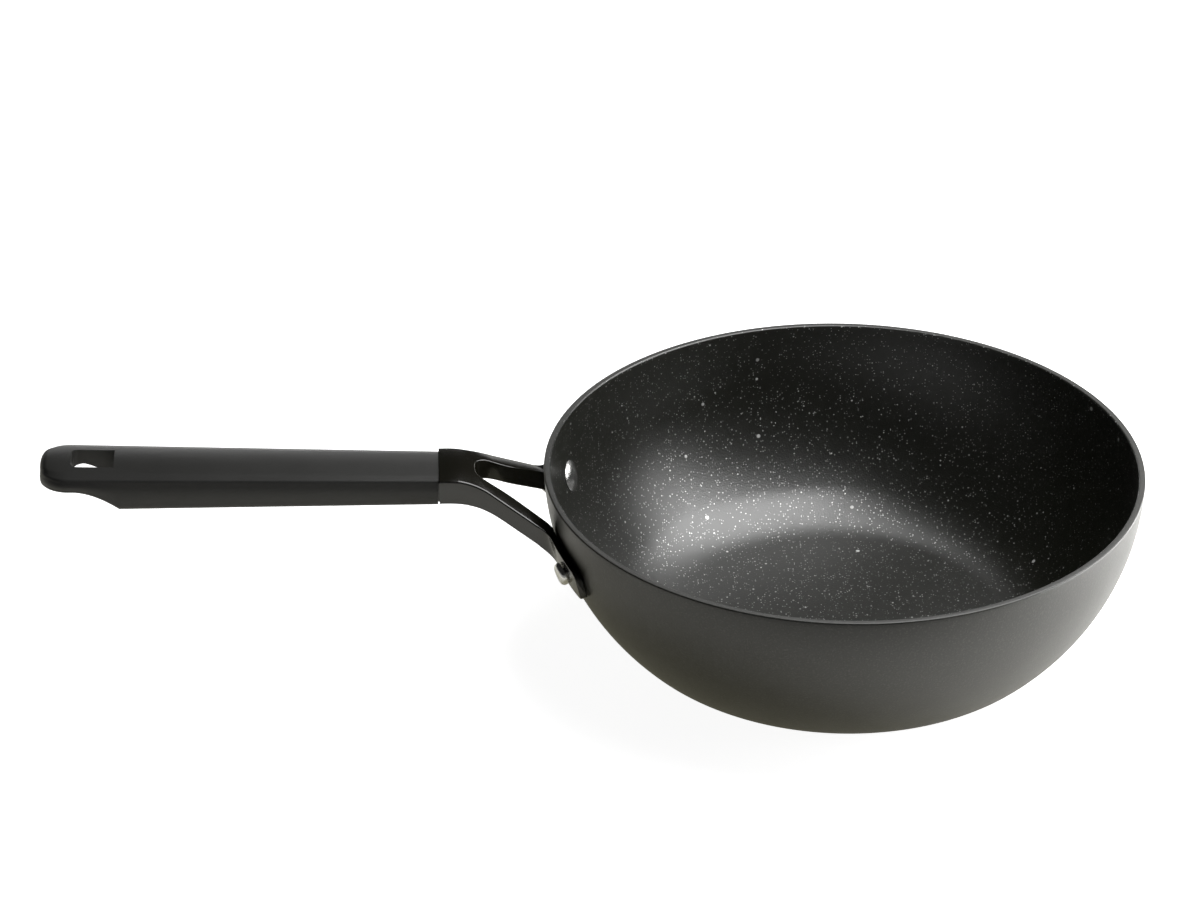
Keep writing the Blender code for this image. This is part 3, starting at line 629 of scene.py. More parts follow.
# %% [markdown]
# ## Fork, drawn from lines
# The fork is a cast Y. Its neck leaves the grip level, then the top and the
# underside bend down while the plan opens into two arms. Each arm turns to run
# along the bowl's wall as a pad, which one rivet holds. Such a form follows
# lines, so code draws them: one line for the top, one for the underside, one
# plan for each edge. A ring of points goes round each station, and the rings
# are skinned. Only one half is made and then mirrored.

# %% Sizes of the neck
PAD_GAP = 0.0004
NECK_REACH = 0.0487
NECK_HALF_WIDTH = 0.0158
NECK_TOP = 0.00495
NECK_HEIGHT = 0.0123
NECK_LEVEL = 0.0030
NECK_STRAIGHT = 0.0090
NECK_END = RIM_RADIUS + NECK_REACH
BEND_START = NECK_END - NECK_LEVEL
PLAN_BEND = NECK_END - NECK_STRAIGHT
print("the neck meets the grip", round(1000 * NECK_REACH, 1), "mm out from the rim")

# %% Height lines
ARM_DROP = radians(29.0)
TOP_BEND_RADIUS = 0.0436
ARM_HEIGHT = 0.0094
PAD_LOWER_EDGE = 0.0357
PAD_FLARE_INSET = 0.0020
PAD_FLARE_RUN = 0.0135


def from_rim(reach, side, height):
    """A point from its reach from the axis, its side and its height over the rim."""
    return Vector((-reach, side, BOWL_HEIGHT + height))


def side_line(reach, level, bend_radius):
    """Height of a line that runs level from the neck and then bends down."""
    run = BEND_START - reach
    bend_run = bend_radius * sin(ARM_DROP)
    if run <= 0:
        return level
    if run < bend_run:
        return level - bend_radius + (bend_radius**2 - run**2) ** 0.5
    return level - bend_radius * (1 - cos(ARM_DROP)) - (run - bend_run) * tan(ARM_DROP)


def top_line(reach):
    return side_line(reach, NECK_TOP, TOP_BEND_RADIUS)


def bottom_line(reach):
    """The underside: its bend is wider, so that the arm ends at its own height."""
    drop = ARM_HEIGHT / cos(ARM_DROP) - NECK_HEIGHT
    rise = tan(ARM_DROP) * sin(ARM_DROP) - (1 - cos(ARM_DROP))
    return side_line(reach, NECK_TOP - NECK_HEIGHT, TOP_BEND_RADIUS - drop / rise)


def flared_line(reach):
    """The underside, which turns down to the pad's lower edge."""
    start = RIM_RADIUS - PAD_FLARE_INSET
    if reach >= start:
        return bottom_line(reach)
    share = min((start - reach) / PAD_FLARE_RUN, 1.0)
    drop = bottom_line(start) + PAD_LOWER_EDGE
    return bottom_line(start) - drop * share * (2 - share)


rim_heights = [round(1000 * line(RIM_RADIUS), 1) for line in (top_line, bottom_line)]
print("top and underside at the rim in mm:", rim_heights)

# %% Points on the wall
WALL_ROUNDS = 12
SEARCH_ROUNDS = 40


def outer_lean(depth):
    """How far the outer wall leans from upright at a depth below the rim."""
    return asin(sin(RIM_LEAN) + depth / UPPER_RADIUS)


def outer_radius(depth):
    return RIM_RADIUS - UPPER_RADIUS * (cos(RIM_LEAN) - cos(outer_lean(depth)))


def on_wall(azimuth, offset, line, lift=0.0):
    """The point of a lifted height line at an offset from the bowl's outer wall."""
    depth = 0.0
    for _ in range(WALL_ROUNDS):
        lean = outer_lean(depth)
        radius = outer_radius(depth) + offset / cos(lean)
        depth = -line(radius * cos(azimuth)) - lift
    return radius * cos(azimuth), radius * sin(azimuth), -depth


def meet_wall(start, spread, offset, line):
    """Azimuth where a straight plan line reaches an offset from the wall."""
    low, high = 0.0, start[0]
    for _ in range(SEARCH_ROUNDS):
        run = (low + high) / 2
        reach = start[0] - run * cos(spread)
        side = start[1] + run * sin(spread)
        depth = -line(reach)
        limit = outer_radius(depth) + offset / cos(outer_lean(depth))
        if (reach**2 + side**2) ** 0.5 > limit:
            low = run
        else:
            high = run
    return atan2(side, reach), (reach, side)


third_lean = round(outer_lean(BOWL_HEIGHT / 3) * 180 / pi, 1)
print("a third of the way down, the wall leans", third_lean, "degrees")

# %% Plan of the outer edge
OUTER_SPREAD = radians(25.0)
OUTER_BEND_RADIUS = 0.037
BEND_STEPS = 30


def mix(a, b, share):
    return tuple(p + (q - p) * share for p, q in zip(a, b))


def outer_plan(inset):
    """Plan of the outer edge down to the end of the neck's bend."""
    width = NECK_HALF_WIDTH - inset
    radius = OUTER_BEND_RADIUS + inset
    turns = [OUTER_SPREAD * i / BEND_STEPS for i in range(BEND_STEPS + 1)]
    return [(PLAN_BEND - radius * sin(t), width + radius * (1 - cos(t))) for t in turns]


print("the outer edge bends by", round(OUTER_SPREAD * 180 / pi), "degrees")

# %% Plan of the crotch
CROTCH_SETBACK = 0.0167
CROTCH_LENGTH = 0.0100
CROTCH_HALF_WIDTH = 0.0111
CROTCH_FLAT = 0.0072
CROTCH_LEAD = 0.0075
CROTCH_SPREAD = radians(17.0)
CROTCH_TIP = NECK_END - CROTCH_SETBACK
CROTCH_END = CROTCH_TIP - CROTCH_LENGTH


def crotch_edge(share):
    """A plan point of the rounded crotch, and its direction into the fork."""
    tip = Vector((CROTCH_TIP, 0.0))
    flat = Vector((CROTCH_TIP, CROTCH_FLAT))
    end = Vector((CROTCH_END, CROTCH_HALF_WIDTH))
    lead = end + Vector((1.0, -tan(CROTCH_SPREAD))) * CROTCH_LEAD
    first, middle, last = tip.lerp(flat, share), flat.lerp(lead, share), lead.lerp(end, share)
    near, far = first.lerp(middle, share), middle.lerp(last, share)
    along = (far - near).normalized()
    return near.lerp(far, share), Vector((along.y, -along.x))


print("the crotch is", round(2000 * CROTCH_HALF_WIDTH, 1), "mm wide where the arms start")

# %% Plan of the inner edge
INNER_SPREAD = radians(29.2)
INNER_BEND_RUN = 0.0100
INNER_TOP_ROUND = 0.0008
CROTCH_EASE = 1.2
CROTCH_STEPS = 18


def arm_edge(run):
    """A plan point of an arm's inner edge at a run past the crotch, and its direction."""
    slope, last = tan(CROTCH_SPREAD), tan(INNER_SPREAD)
    bent = min(run, INNER_BEND_RUN)
    turn = (last - slope) / INNER_BEND_RUN
    side = CROTCH_HALF_WIDTH + slope * bent + turn * bent**2 / 2 + last * (run - bent)
    return Vector((CROTCH_END - run, side)), Vector((slope + turn * bent, 1.0)).normalized()


def arm_run(offset, inset):
    """Where an inset inner edge is at an offset from the wall, as (azimuth, run)."""
    point, inwards = arm_edge(INNER_BEND_RUN)
    azimuth, contact = meet_wall(point + inwards * inset, INNER_SPREAD, offset, top_line)
    return azimuth, CROTCH_END + inwards.x * inset - contact[0]


def inner_plan(inset):
    """Plan of the inner edge, along the middle and round the crotch."""
    shoulder = (CROTCH_TIP + INNER_TOP_ROUND + inset * CROTCH_EASE, 0.0)
    straight = BEND_STEPS - CROTCH_STEPS
    plan = [mix((PLAN_BEND, 0.0), shoulder, i / straight) for i in range(straight)]
    for i in range(CROTCH_STEPS + 1):
        point, inwards = crotch_edge(i / CROTCH_STEPS)
        plan.append(tuple(point + inwards * inset))
    return plan


print("the plan of the inner edge has", len(inner_plan(0.0)), "points")

# %% Azimuths of the pad
PAD_THICKNESS = 0.0035
PAD_TAIL = 0.0160
RIVET_SETBACK = 0.0143


def pad_azimuths():
    """Where the arm's outer edge meets the pad, the rivet and the pad's end."""
    offset = PAD_GAP + PAD_THICKNESS
    corner, _ = meet_wall(outer_plan(0.0)[-1], OUTER_SPREAD, offset, top_line)
    rivet = corner + RIVET_SETBACK / RIM_RADIUS
    return corner, rivet, rivet + PAD_TAIL / RIM_RADIUS


print("pad azimuths in degrees:", [round(a * 180 / pi, 2) for a in pad_azimuths()])

# %% One ring of the fork
INNER_WALL_LIFT = 0.0020
OUTER_TOP_ROUND = 0.0011
EDGE_ROUND = 0.0009
LOW_ROUND_STEPS = 4
OUTER_ROUND_STEPS = 8
INNER_ROUND_STEPS = 7
TOP_SHARES = (0.2, 0.4, 0.6, 0.8)


def bend(first, corner, last, steps):
    """A curve from first to last that bends round a corner."""
    shares = [i / steps for i in range(steps + 1)]
    return [first.lerp(corner, t).lerp(corner.lerp(last, t), t) for t in shares]


def towards(start, end, distance):
    return start + (end - start).normalized() * distance


def rounded(corner, before, after, radius, steps):
    first = towards(corner, before, radius)
    return bend(first, corner, towards(corner, after, radius), steps)


def section(corners, rounds, bulge, shoulder=None):
    """One ring, from its inner bottom edge round to its inner side."""
    inner_bottom, outer_bottom, outer_top, inner_top = corners
    inner_low, outer_low, outer_high, inner_high = rounds
    shoulder = shoulder or towards(inner_top, outer_top, inner_high)
    ring = rounded(inner_bottom, inner_top, outer_bottom, inner_low, LOW_ROUND_STEPS)
    ring += rounded(outer_bottom, inner_bottom, outer_top, outer_low, LOW_ROUND_STEPS)
    ring += rounded(outer_top, outer_bottom, inner_top, outer_high, OUTER_ROUND_STEPS)
    top_start = ring[-1]
    for share in TOP_SHARES:
        swell = Vector((0, 0, bulge * share * (1 - share)))
        ring.append(top_start.lerp(shoulder, share) + swell)
    side = towards(inner_top, inner_bottom, inner_high)
    return ring + bend(shoulder, inner_top, side, INNER_ROUND_STEPS)


def fork_section(outer, inner, crown, fall=0.0, inwards=None):
    """A ring of the neck, or one of an arm with its inner edge rounded inwards."""
    lift = INNER_WALL_LIFT if inwards else 0.0
    corners = (
        from_rim(*inner, bottom_line(inner[0]) + lift),
        from_rim(*outer, flared_line(outer[0])),
        from_rim(*outer, top_line(outer[0]) - fall),
        from_rim(*inner, top_line(inner[0]) + crown),
    )
    if not inwards:
        return section(corners, (0.0, EDGE_ROUND, OUTER_TOP_ROUND, 0.0), crown)
    reach = inner[0] + inwards[0] * INNER_TOP_ROUND
    side = inner[1] + inwards[1] * INNER_TOP_ROUND
    shoulder = from_rim(reach, side, top_line(reach) + crown)
    inner_low = EDGE_ROUND if inner[1] > 0 else 0.0
    rounds = (inner_low, EDGE_ROUND, OUTER_TOP_ROUND, INNER_TOP_ROUND)
    return section(corners, rounds, crown, shoulder)

# %% Frame of the grip
GRIP_TILT = radians(2.13)
GRIP_LENGTH = 0.1838
GRIP_DROP = 0.0005


def grip_frame():
    """Frame of the grip: its joint with the neck, turned along the handle."""
    turn = Euler((0.0, -GRIP_TILT, pi)).to_matrix().to_4x4()
    spot = from_rim(NECK_END + FIT_GAP, 0.0, NECK_TOP - GRIP_DROP)
    return Matrix.Translation(spot) @ turn


print("the grip is", round(1000 * GRIP_LENGTH, 1), "mm long")

# %% [markdown]
# ## From the tang to the pad
# The rings start at the tang, a flat bar that the plastic grip slides over. A
# low step on the neck's end comes next: it fills the narrow joint between metal
# and plastic, so that no light shows through. Then come the neck, the bend
# round the crotch, the arm, and the turn into the pad along the wall.

# %% Tang and step
TANG_LENGTH = 0.060
TANG_HALF_WIDTH = 0.0090
TANG_HEIGHT = 0.0060
TANG_DEPTH = 0.0062
BOSS_HALF_WIDTH = 0.0144
BOSS_TOP = -0.0003
BOSS_DEPTH = 0.0114
BOSS_CROWN = 0.0008
SEAM = 0.00006


def tang_rings():
    """The flat tang that runs into the grip."""
    to_row = grip_frame()
    low = -TANG_DEPTH - TANG_HEIGHT / 2
    high = low + TANG_HEIGHT
    spots = ((0.0, low), (-TANG_HALF_WIDTH, low), (-TANG_HALF_WIDTH, high), (0.0, high))
    rings = []
    for along in (TANG_LENGTH, -SEAM):
        corners = [to_row @ Vector((along, side, height)) for side, height in spots]
        rings.append(section(corners, (0.0, EDGE_ROUND, EDGE_ROUND, 0.0), 0.0))
    return rings


def boss_rings():
    """The low step on the neck's end that closes the joint below its edge."""
    to_row = grip_frame()
    foot = NECK_TOP - GRIP_DROP
    spots = (
        (0.0, -BOSS_DEPTH),
        (BOSS_HALF_WIDTH, -BOSS_DEPTH),
        (BOSS_HALF_WIDTH, BOSS_TOP),
        (0.0, BOSS_TOP + BOSS_CROWN),
    )
    rounds = (0.0, EDGE_ROUND, OUTER_TOP_ROUND, 0.0)
    top = [to_row @ Vector((-SEAM, -side, height)) for side, height in spots]
    base = [from_rim(NECK_END, side, foot + height) for side, height in spots]
    return [section(corners, rounds, BOSS_CROWN) for corners in (top, base)]


print("the tang reaches", round(1000 * TANG_LENGTH), "mm into the grip")

# %% Rings of the neck
NECK_STEPS = 6
NECK_CROWN = 0.0010
ARM_CROWN = 0.0006
ARM_FALL = 0.0006


def neck_rings(outer, inner):
    """The neck, and the bend where it opens round the crotch."""
    rings = []
    for i in range(NECK_STEPS):
        reach = NECK_END - NECK_STRAIGHT * i / NECK_STEPS
        rings.append(fork_section((reach, NECK_HALF_WIDTH), (reach, 0.0), NECK_CROWN))
    tip = BEND_STEPS - CROTCH_STEPS
    for i in range(BEND_STEPS + 1):
        share = i / BEND_STEPS
        crown = NECK_CROWN + (ARM_CROWN - NECK_CROWN) * share
        inwards = None
        if i >= tip:
            inwards = tuple(crotch_edge((i - tip) / CROTCH_STEPS)[1])
        rings.append(fork_section(outer[i], inner[i], crown, ARM_FALL * share, inwards))
    return rings


print("neck rings:", len(neck_rings(outer_plan(0.0), inner_plan(0.0))))

# %% Rings of the arm and of its turn
ARM_STEPS = 16
INNER_BEND_SHARE = 0.9
PAD_BEND = 0.0055
PAD_BEND_STEPS = 12


def arm_rings(start, end, inner_run):
    """The straight part of one arm."""
    rings = []
    for i in range(1, ARM_STEPS + 1):
        share = i / ARM_STEPS
        edge, inwards = arm_edge(inner_run * INNER_BEND_SHARE * share)
        spot = mix(start, end, share)
        rings.append(fork_section(spot, edge, ARM_CROWN, ARM_FALL, tuple(inwards)))
    return rings


def bent_corner(arm_end, corner, bend_end, share, line):
    """The outer edge where it turns from the arm to the pad."""
    offset = PAD_GAP + PAD_THICKNESS
    first = from_rim(arm_end[0], arm_end[1], line(arm_end[0]))
    middle = from_rim(*on_wall(corner, offset, line))
    last = from_rim(*on_wall(bend_end, offset, line))
    return first.lerp(middle, share).lerp(middle.lerp(last, share), share)


def pad_section(outer_bottom, outer_top, azimuth, inset, crown=0.0):
    """A ring of the pad, whose inner face follows the bowl's wall."""
    corners = (
        from_rim(*on_wall(azimuth, PAD_GAP, flared_line, inset)),
        outer_bottom,
        outer_top,
        from_rim(*on_wall(azimuth, PAD_GAP, top_line, crown - inset)),
    )
    return section(corners, (EDGE_ROUND,) * 4, 0.0)


def turn_rings(arm_end, contact, corner, bend_end):
    """Where the arm turns along the wall and its inner face comes to rest on it."""
    rings = []
    for i in range(1, PAD_BEND_STEPS + 1):
        share = i / PAD_BEND_STEPS
        azimuth = contact + (bend_end - contact) * share
        low = bent_corner(arm_end, corner, bend_end, share, flared_line)
        high = bent_corner(arm_end, corner, bend_end, share, top_line)
        high.z -= ARM_FALL * (1 - share)
        rings.append(pad_section(low, high, azimuth, 0.0, ARM_CROWN * (1 - share)))
    return rings


print("the arm turns into the pad over", round(1000 * PAD_BEND, 1), "mm")

# %% Rings of the pad, and all of them together
PAD_STEPS = 8
PAD_CORNER = 0.0026
PAD_CORNER_STEPS = 8


def pad_spots(bend_end, end):
    """Azimuths along the pad, with how far its round end is drawn in."""
    start = end - PAD_CORNER / RIM_RADIUS
    spots = [(bend_end + (start - bend_end) * i / PAD_STEPS, 0.0) for i in range(1, PAD_STEPS + 1)]
    for i in range(1, PAD_CORNER_STEPS + 1):
        turn = pi / 2 * i / PAD_CORNER_STEPS
        spots.append((start + (end - start) * sin(turn), PAD_CORNER * (1 - cos(turn))))
    return spots


def pad_rings(bend_end, end):
    """The pad along the wall, up to its round end."""
    offset = PAD_GAP + PAD_THICKNESS
    rings = []
    for azimuth, inset in pad_spots(bend_end, end):
        low = from_rim(*on_wall(azimuth, offset, flared_line, inset))
        high = from_rim(*on_wall(azimuth, offset, top_line, -inset))
        rings.append(pad_section(low, high, azimuth, inset))
    return rings


def fork_rings():
    """All rings of one half, and the number of the one at the crotch's tip."""
    outer = outer_plan(0.0)
    root = tang_rings() + boss_rings()
    corner, _, end = pad_azimuths()
    _, outer_corner = meet_wall(outer[-1], OUTER_SPREAD, PAD_GAP + PAD_THICKNESS, top_line)
    contact, inner_run = arm_run(PAD_GAP, 0.0)
    outer_run = Vector(outer_corner) - Vector(outer[-1])
    arm_end = Vector(outer_corner) - outer_run.normalized() * PAD_BEND
    bend_end = corner + PAD_BEND / RIM_RADIUS
    rings = root + neck_rings(outer, inner_plan(0.0))
    rings += arm_rings(outer[-1], arm_end, inner_run)
    rings += turn_rings(arm_end, contact, corner, bend_end)
    rings += pad_rings(bend_end, end)
    return rings, len(root) + NECK_STEPS + BEND_STEPS - CROTCH_STEPS


print("fork rings on one half:", len(fork_rings()[0]))

# %% [markdown]
# ## Hollow, skin and bores
# A cast fork is hollow below, which saves metal and keeps it cool. The same
# lines, moved inwards by the wall, give the rings of that hollow. Both sets of
# rings are skinned with quads and mirrored, and booleans then take the hollow
# and the two rivet holes out of the fork.

# %% The hollow under the fork
CHANNEL_WALL = 0.0024
CHANNEL_ROOF = 0.0028


def channel_rings():
    """Rings of the hollow under the neck and one arm, and the crotch's number."""
    outer, inner = outer_plan(CHANNEL_WALL), inner_plan(CHANNEL_WALL)
    offset = PAD_GAP + PAD_THICKNESS + CHANNEL_WALL
    _, outer_end = meet_wall(outer[-1], OUTER_SPREAD, offset, top_line)
    _, inner_run = arm_run(offset, CHANNEL_WALL)
    stations = list(zip(outer, inner))
    for i in range(1, ARM_STEPS + 1):
        share = i / ARM_STEPS
        edge, inwards = arm_edge(inner_run * share)
        stations.append((mix(outer[-1], outer_end, share), edge + inwards * CHANNEL_WALL))
    rings = []
    for out, middle in stations:
        corners = (
            from_rim(*middle, bottom_line(middle[0]) - ARM_HEIGHT),
            from_rim(*out, bottom_line(out[0]) - ARM_HEIGHT),
            from_rim(*out, top_line(out[0]) - CHANNEL_ROOF),
            from_rim(*middle, top_line(middle[0]) - CHANNEL_ROOF),
        )
        rings.append(section(corners, (0.0, 0.0, EDGE_ROUND, 0.0), 0.0))
    return rings, BEND_STEPS - CROTCH_STEPS


print("rings of the hollow:", len(channel_rings()[0]))

# %% Skinning the rings
ON_MIDDLE = 1e-7
RING_DOUBLES = 0.000002
MIRROR_MERGE = 0.00001


def ladder(name, rings, tip):
    """Skin one half: its inner side is open on the middle plane up to the tip."""
    shape = bmesh.new()
    rows = [[shape.verts.new(point) for point in ring] for ring in rings]
    for i, (near, far) in enumerate(zip(rows, rows[1:])):
        for j in range(len(near) - 1):
            quad = (near[j], near[j + 1], far[j + 1], far[j])
            if any(abs(corner.co.y) > ON_MIDDLE for corner in quad):
                shape.faces.new(quad)
        if i >= tip:
            shape.faces.new((near[-1], near[0], far[0], far[-1]))
    shape.faces.new(list(reversed(rows[0])))
    shape.faces.new(rows[-1])
    bmesh.ops.remove_doubles(shape, verts=shape.verts, dist=RING_DOUBLES)
    bmesh.ops.dissolve_degenerate(shape, edges=shape.edges, dist=RING_DOUBLES)
    item = poured(name, shape)
    mirror = item.modifiers.new("other_half", "MIRROR")
    mirror.use_axis = (False, True, False)
    mirror.merge_threshold = MIRROR_MERGE
    return item


def cut(item, *cutters):
    """Take cutters away from an object and leave a plain mesh."""
    for cutter in cutters:
        step = item.modifiers.new(cutter.name, "BOOLEAN")
        step.solver = "EXACT"
        step.object = cutter
    done = baked(item)
    for cutter in cutters:
        bpy.data.objects.remove(cutter, do_unlink=True)
    return done


print("points closer than", 1000 * RING_DOUBLES, "mm are merged")

# %% Drills
RIVET_SHANK_RADIUS = 0.0024
RIVET_DEPTH = 0.0277
DRILL_LENGTH = 0.026
DRILL_SIDES = 48


def cylinder(name, radius, depth, sides, to_row):
    """A round bar along Z, put in place by a matrix."""
    shape = bmesh.new()
    bmesh.ops.create_cone(
        shape, cap_ends=True, segments=sides, radius1=radius, radius2=radius, depth=depth
    )
    shape.transform(to_row)
    return poured(name, shape)


def rivet_frame(side):
    """Frame on the bowl's outer wall: Z along the wall's outward normal."""
    azimuth = pad_azimuths()[1] * side
    lean = outer_lean(RIVET_DEPTH)
    radius = outer_radius(RIVET_DEPTH)
    spot = from_rim(radius * cos(azimuth), radius * sin(azimuth), -RIVET_DEPTH)
    outwards = Vector((-cos(azimuth) * cos(lean), sin(azimuth) * cos(lean), -sin(lean)))
    along = Vector((sin(azimuth), cos(azimuth), 0.0))
    turn = Matrix((along, outwards.cross(along), outwards)).transposed()
    return Matrix.Translation(spot) @ turn.to_4x4()


def rivet_drills():
    bore = RIVET_SHANK_RADIUS + FIT_GAP
    frames = [rivet_frame(side) for side in (-1, 1)]
    return [cylinder("drill", bore, DRILL_LENGTH, DRILL_SIDES, to_row) for to_row in frames]


print("the drills are", round(2000 * (RIVET_SHANK_RADIUS + FIT_GAP), 1), "mm thick")


# %% The fork
def make_fork():
    rings, tip = fork_rings()
    fork = ladder("wok_fork", rings, tip)
    rings, tip = channel_rings()
    channel = ladder("channel", rings, tip)
    fork = cut(fork, channel, *rivet_drills())
    fork.data.materials.clear()
    fork.data.materials.append(enamel)
    return tidy(fork)


fork = make_fork()

# %% [markdown]
# ## Drilling and painting the bowl
# The two rivets pass through the wall, so the bowl is drilled like the real
# one. Then each face gets its finish by where it lies: inside, on the rim land,
# outside, or on the bare metal of the base recess.

# %% Drill the bowl and give its faces their finishes
BOWL_FINISHES = (coating, rim_finish, outside, aluminium)
INSIDE, LAND, OUTSIDE, BARE = range(4)
LAND_DEPTH = 0.00002
RECESS_MARGIN = 2 * FIT_GAP
FLOOR_SLOPE = 0.9


def paint_bowl(item):
    """Give each face the coat that its place calls for."""
    mesh = item.data
    mesh.materials.clear()
    for finish in BOWL_FINISHES:
        mesh.materials.append(finish)
    for face in mesh.polygons:
        spot, normal = face.center, face.normal
        radius = (spot.x**2 + spot.y**2) ** 0.5
        inwards = spot.x * normal.x + spot.y * normal.y < 0
        low = spot.z < DISC_THICKNESS + RECESS_MARGIN
        if spot.z > BOWL_HEIGHT - LAND_DEPTH:
            face.material_index = LAND
        elif low and radius < DISC_RADIUS + RECESS_MARGIN:
            face.material_index = BARE
        elif inwards or (normal.z > FLOOR_SLOPE and radius < DISC_RADIUS * 2):
            face.material_index = INSIDE
        else:
            face.material_index = OUTSIDE
    return item


bowl = paint_bowl(tidy(cut(bowl, *rivet_drills())))

# %% [markdown]
# ## Steel disc
# Aluminium alone doesn't heat on an induction hob, so such pans have a
# perforated steel disc pressed into the base. Holes in rings are a rule, and
# Geometry Nodes draw it: points along each circle, a short bar on each point,
# and one boolean that takes all bars out of the turned disc.

# %% Perforated disc
HOLE_RADIUS = 0.0022
HOLE_RINGS = ((0.022, 8), (0.036, 14), (0.050, 20))
HOLE_SIDES = 32
DISC_CHAMFER = 0.0002
DISC_STEPS = 160


def punch_tree():
    sizes = [("Hole radius", "Float", HOLE_RADIUS), ("Thickness", "Float", DISC_THICKNESS)]
    for number, (radius, count) in enumerate(HOLE_RINGS, 1):
        sizes.append((f"Ring {number} radius", "Float", radius))
        sizes.append((f"Ring {number} holes", "Int", count))
    wire, given = new_tree("punch", sizes + [("Material", "Material", None)])
    rings = []
    for number in range(1, len(HOLE_RINGS) + 1):
        ring = wire.node(
            "GeometryNodeCurvePrimitiveCircle",
            {"mode": "RADIUS"},
            {"Resolution": given[f"Ring {number} holes"], "Radius": given[f"Ring {number} radius"]},
        )
        rings.append(wire.node("GeometryNodeCurveToPoints", {"mode": "EVALUATED"}, {"Curve": ring}))
    joined = wire.node("GeometryNodeJoinGeometry")
    for ring in reversed(rings):
        wire.tree.links.new(ring.socket, joined.socket.node.inputs[0])
    bar = wire.node(
        "GeometryNodeMeshCylinder",
        {},
        {"Vertices": HOLE_SIDES, "Radius": given["Hole radius"], "Depth": given["Thickness"] * 4},
    )
    bars = wire.node("GeometryNodeInstanceOnPoints", {}, {"Points": joined, "Instance": bar})
    bars = wire.node("GeometryNodeRealizeInstances", {}, {"Geometry": bars})
    punched = wire.node(
        "GeometryNodeMeshBoolean",
        {"operation": "DIFFERENCE", "solver": "EXACT"},
        {"Mesh 1": given["Geometry"], "Mesh 2": bars},
    )
    return finish_tree(wire, punched, given["Material"])


def make_disc():
    outline = [
        (0.0, DISC_THICKNESS),
        (DISC_RADIUS - DISC_CHAMFER, DISC_THICKNESS),
        (DISC_RADIUS, DISC_THICKNESS - DISC_CHAMFER),
        (DISC_RADIUS, DISC_CHAMFER),
        (DISC_RADIUS - DISC_CHAMFER, 0.0),
        (0.0, 0.0),
    ]
    plate = tidy(turned("plate", outline, DISC_STEPS, disc_steel))
    mesh = plate.data.copy()
    bpy.data.objects.remove(plate, do_unlink=True)
    return tidy(run_tree("wok_base_disc", punch_tree(), mesh, Material=disc_steel))


disc = make_disc()

# %% [markdown]
# ## Rivets
# Each rivet is one solid piece of aluminium: a broad low dome inside the bowl,
# a shank through wall and pad, and a smaller hammered head outside. It is
# turned upright on the lathe and then laid on the wall's normal.

# %% Rivets
HEAD_GAP = 0.0005
INNER_HEAD_RADIUS = 0.0076
INNER_HEAD_HEIGHT = 0.0018
OUTER_HEAD_RADIUS = 0.0054
OUTER_HEAD_HEIGHT = 0.0028
HEAD_ROUND_SHARE = 0.75
HEAD_ROUND_STEPS = 12
DOME_STEPS = 16
RIVET_STEPS = 64


def rivet_outline():
    outer_seat = PAD_GAP + PAD_THICKNESS + FIT_GAP
    inner_seat = -WALL - HEAD_GAP
    fillet = OUTER_HEAD_HEIGHT * HEAD_ROUND_SHARE
    lift = OUTER_HEAD_HEIGHT * (1 - HEAD_ROUND_SHARE)
    centre = (OUTER_HEAD_RADIUS - fillet, outer_seat + lift)
    outline = [(0.0, outer_seat + OUTER_HEAD_HEIGHT)]
    outline += arc(centre, fillet, pi / 2, 0.0, HEAD_ROUND_STEPS)
    outline += [
        (OUTER_HEAD_RADIUS, outer_seat),
        (RIVET_SHANK_RADIUS, outer_seat),
        (RIVET_SHANK_RADIUS, inner_seat),
        (INNER_HEAD_RADIUS, inner_seat),
    ]
    dome = (INNER_HEAD_RADIUS**2 + INNER_HEAD_HEIGHT**2) / (2 * INNER_HEAD_HEIGHT)
    level = inner_seat - INNER_HEAD_HEIGHT + dome
    half = asin(INNER_HEAD_RADIUS / dome)
    outline += arc((0.0, level), dome, half - pi / 2, -pi / 2, DOME_STEPS)[1:-1]
    return outline + [(0.0, level - dome)]


def make_rivet(name, side):
    rivet = turned(name, rivet_outline(), RIVET_STEPS, aluminium)
    rivet.data.transform(rivet_frame(side))
    return tidy(rivet)


rivet_front = make_rivet("wok_rivet_front", -1)
rivet_rear = make_rivet("wok_rivet_rear", 1)

# %% [markdown]
# ## Grip
# The grip is moulded plastic. Its top is slightly crowned between two narrow
# rounded edges, its sides bow out by less than a millimetre, its underside
# swells to fill the hand, and near the end it rises to a thin tab that carries
# the hanging slot. Rings along its length follow these lines, and booleans cut
# the slot, the socket for the tang and the long bore for the screw.

# %% Lines of the grip
GRIP_ROOT_HALF_WIDTH = 0.0150
GRIP_END_HALF_WIDTH = 0.0180
GRIP_ROOT_DEPTH = 0.0138
GRIP_END_DEPTH = 0.0176
GRIP_BELLY = 0.0024
GRIP_CORNER = 0.0134
TAB_LENGTH = 0.0368
TAB_DEPTH = 0.0073
TAB_RISE_LENGTH = 0.0210
TAB_EASE = 1.8
TAB_HOLLOW = 0.0034
HOLLOW_LEAD = 0.65
LIP_LENGTH = 0.0205
LIP_RUN = 0.0075


def end_turn(along, radius):
    """How far a round edge of this radius has turned in near the grip's end."""
    into = min(max(along - GRIP_LENGTH + radius, 0.0), radius)
    return radius - (radius**2 - into**2) ** 0.5


def between(start, end, share):
    return start + (end - start) * share


def grip_half_width(along):
    width = between(GRIP_ROOT_HALF_WIDTH, GRIP_END_HALF_WIDTH, along / GRIP_LENGTH)
    return width - end_turn(along, GRIP_CORNER)


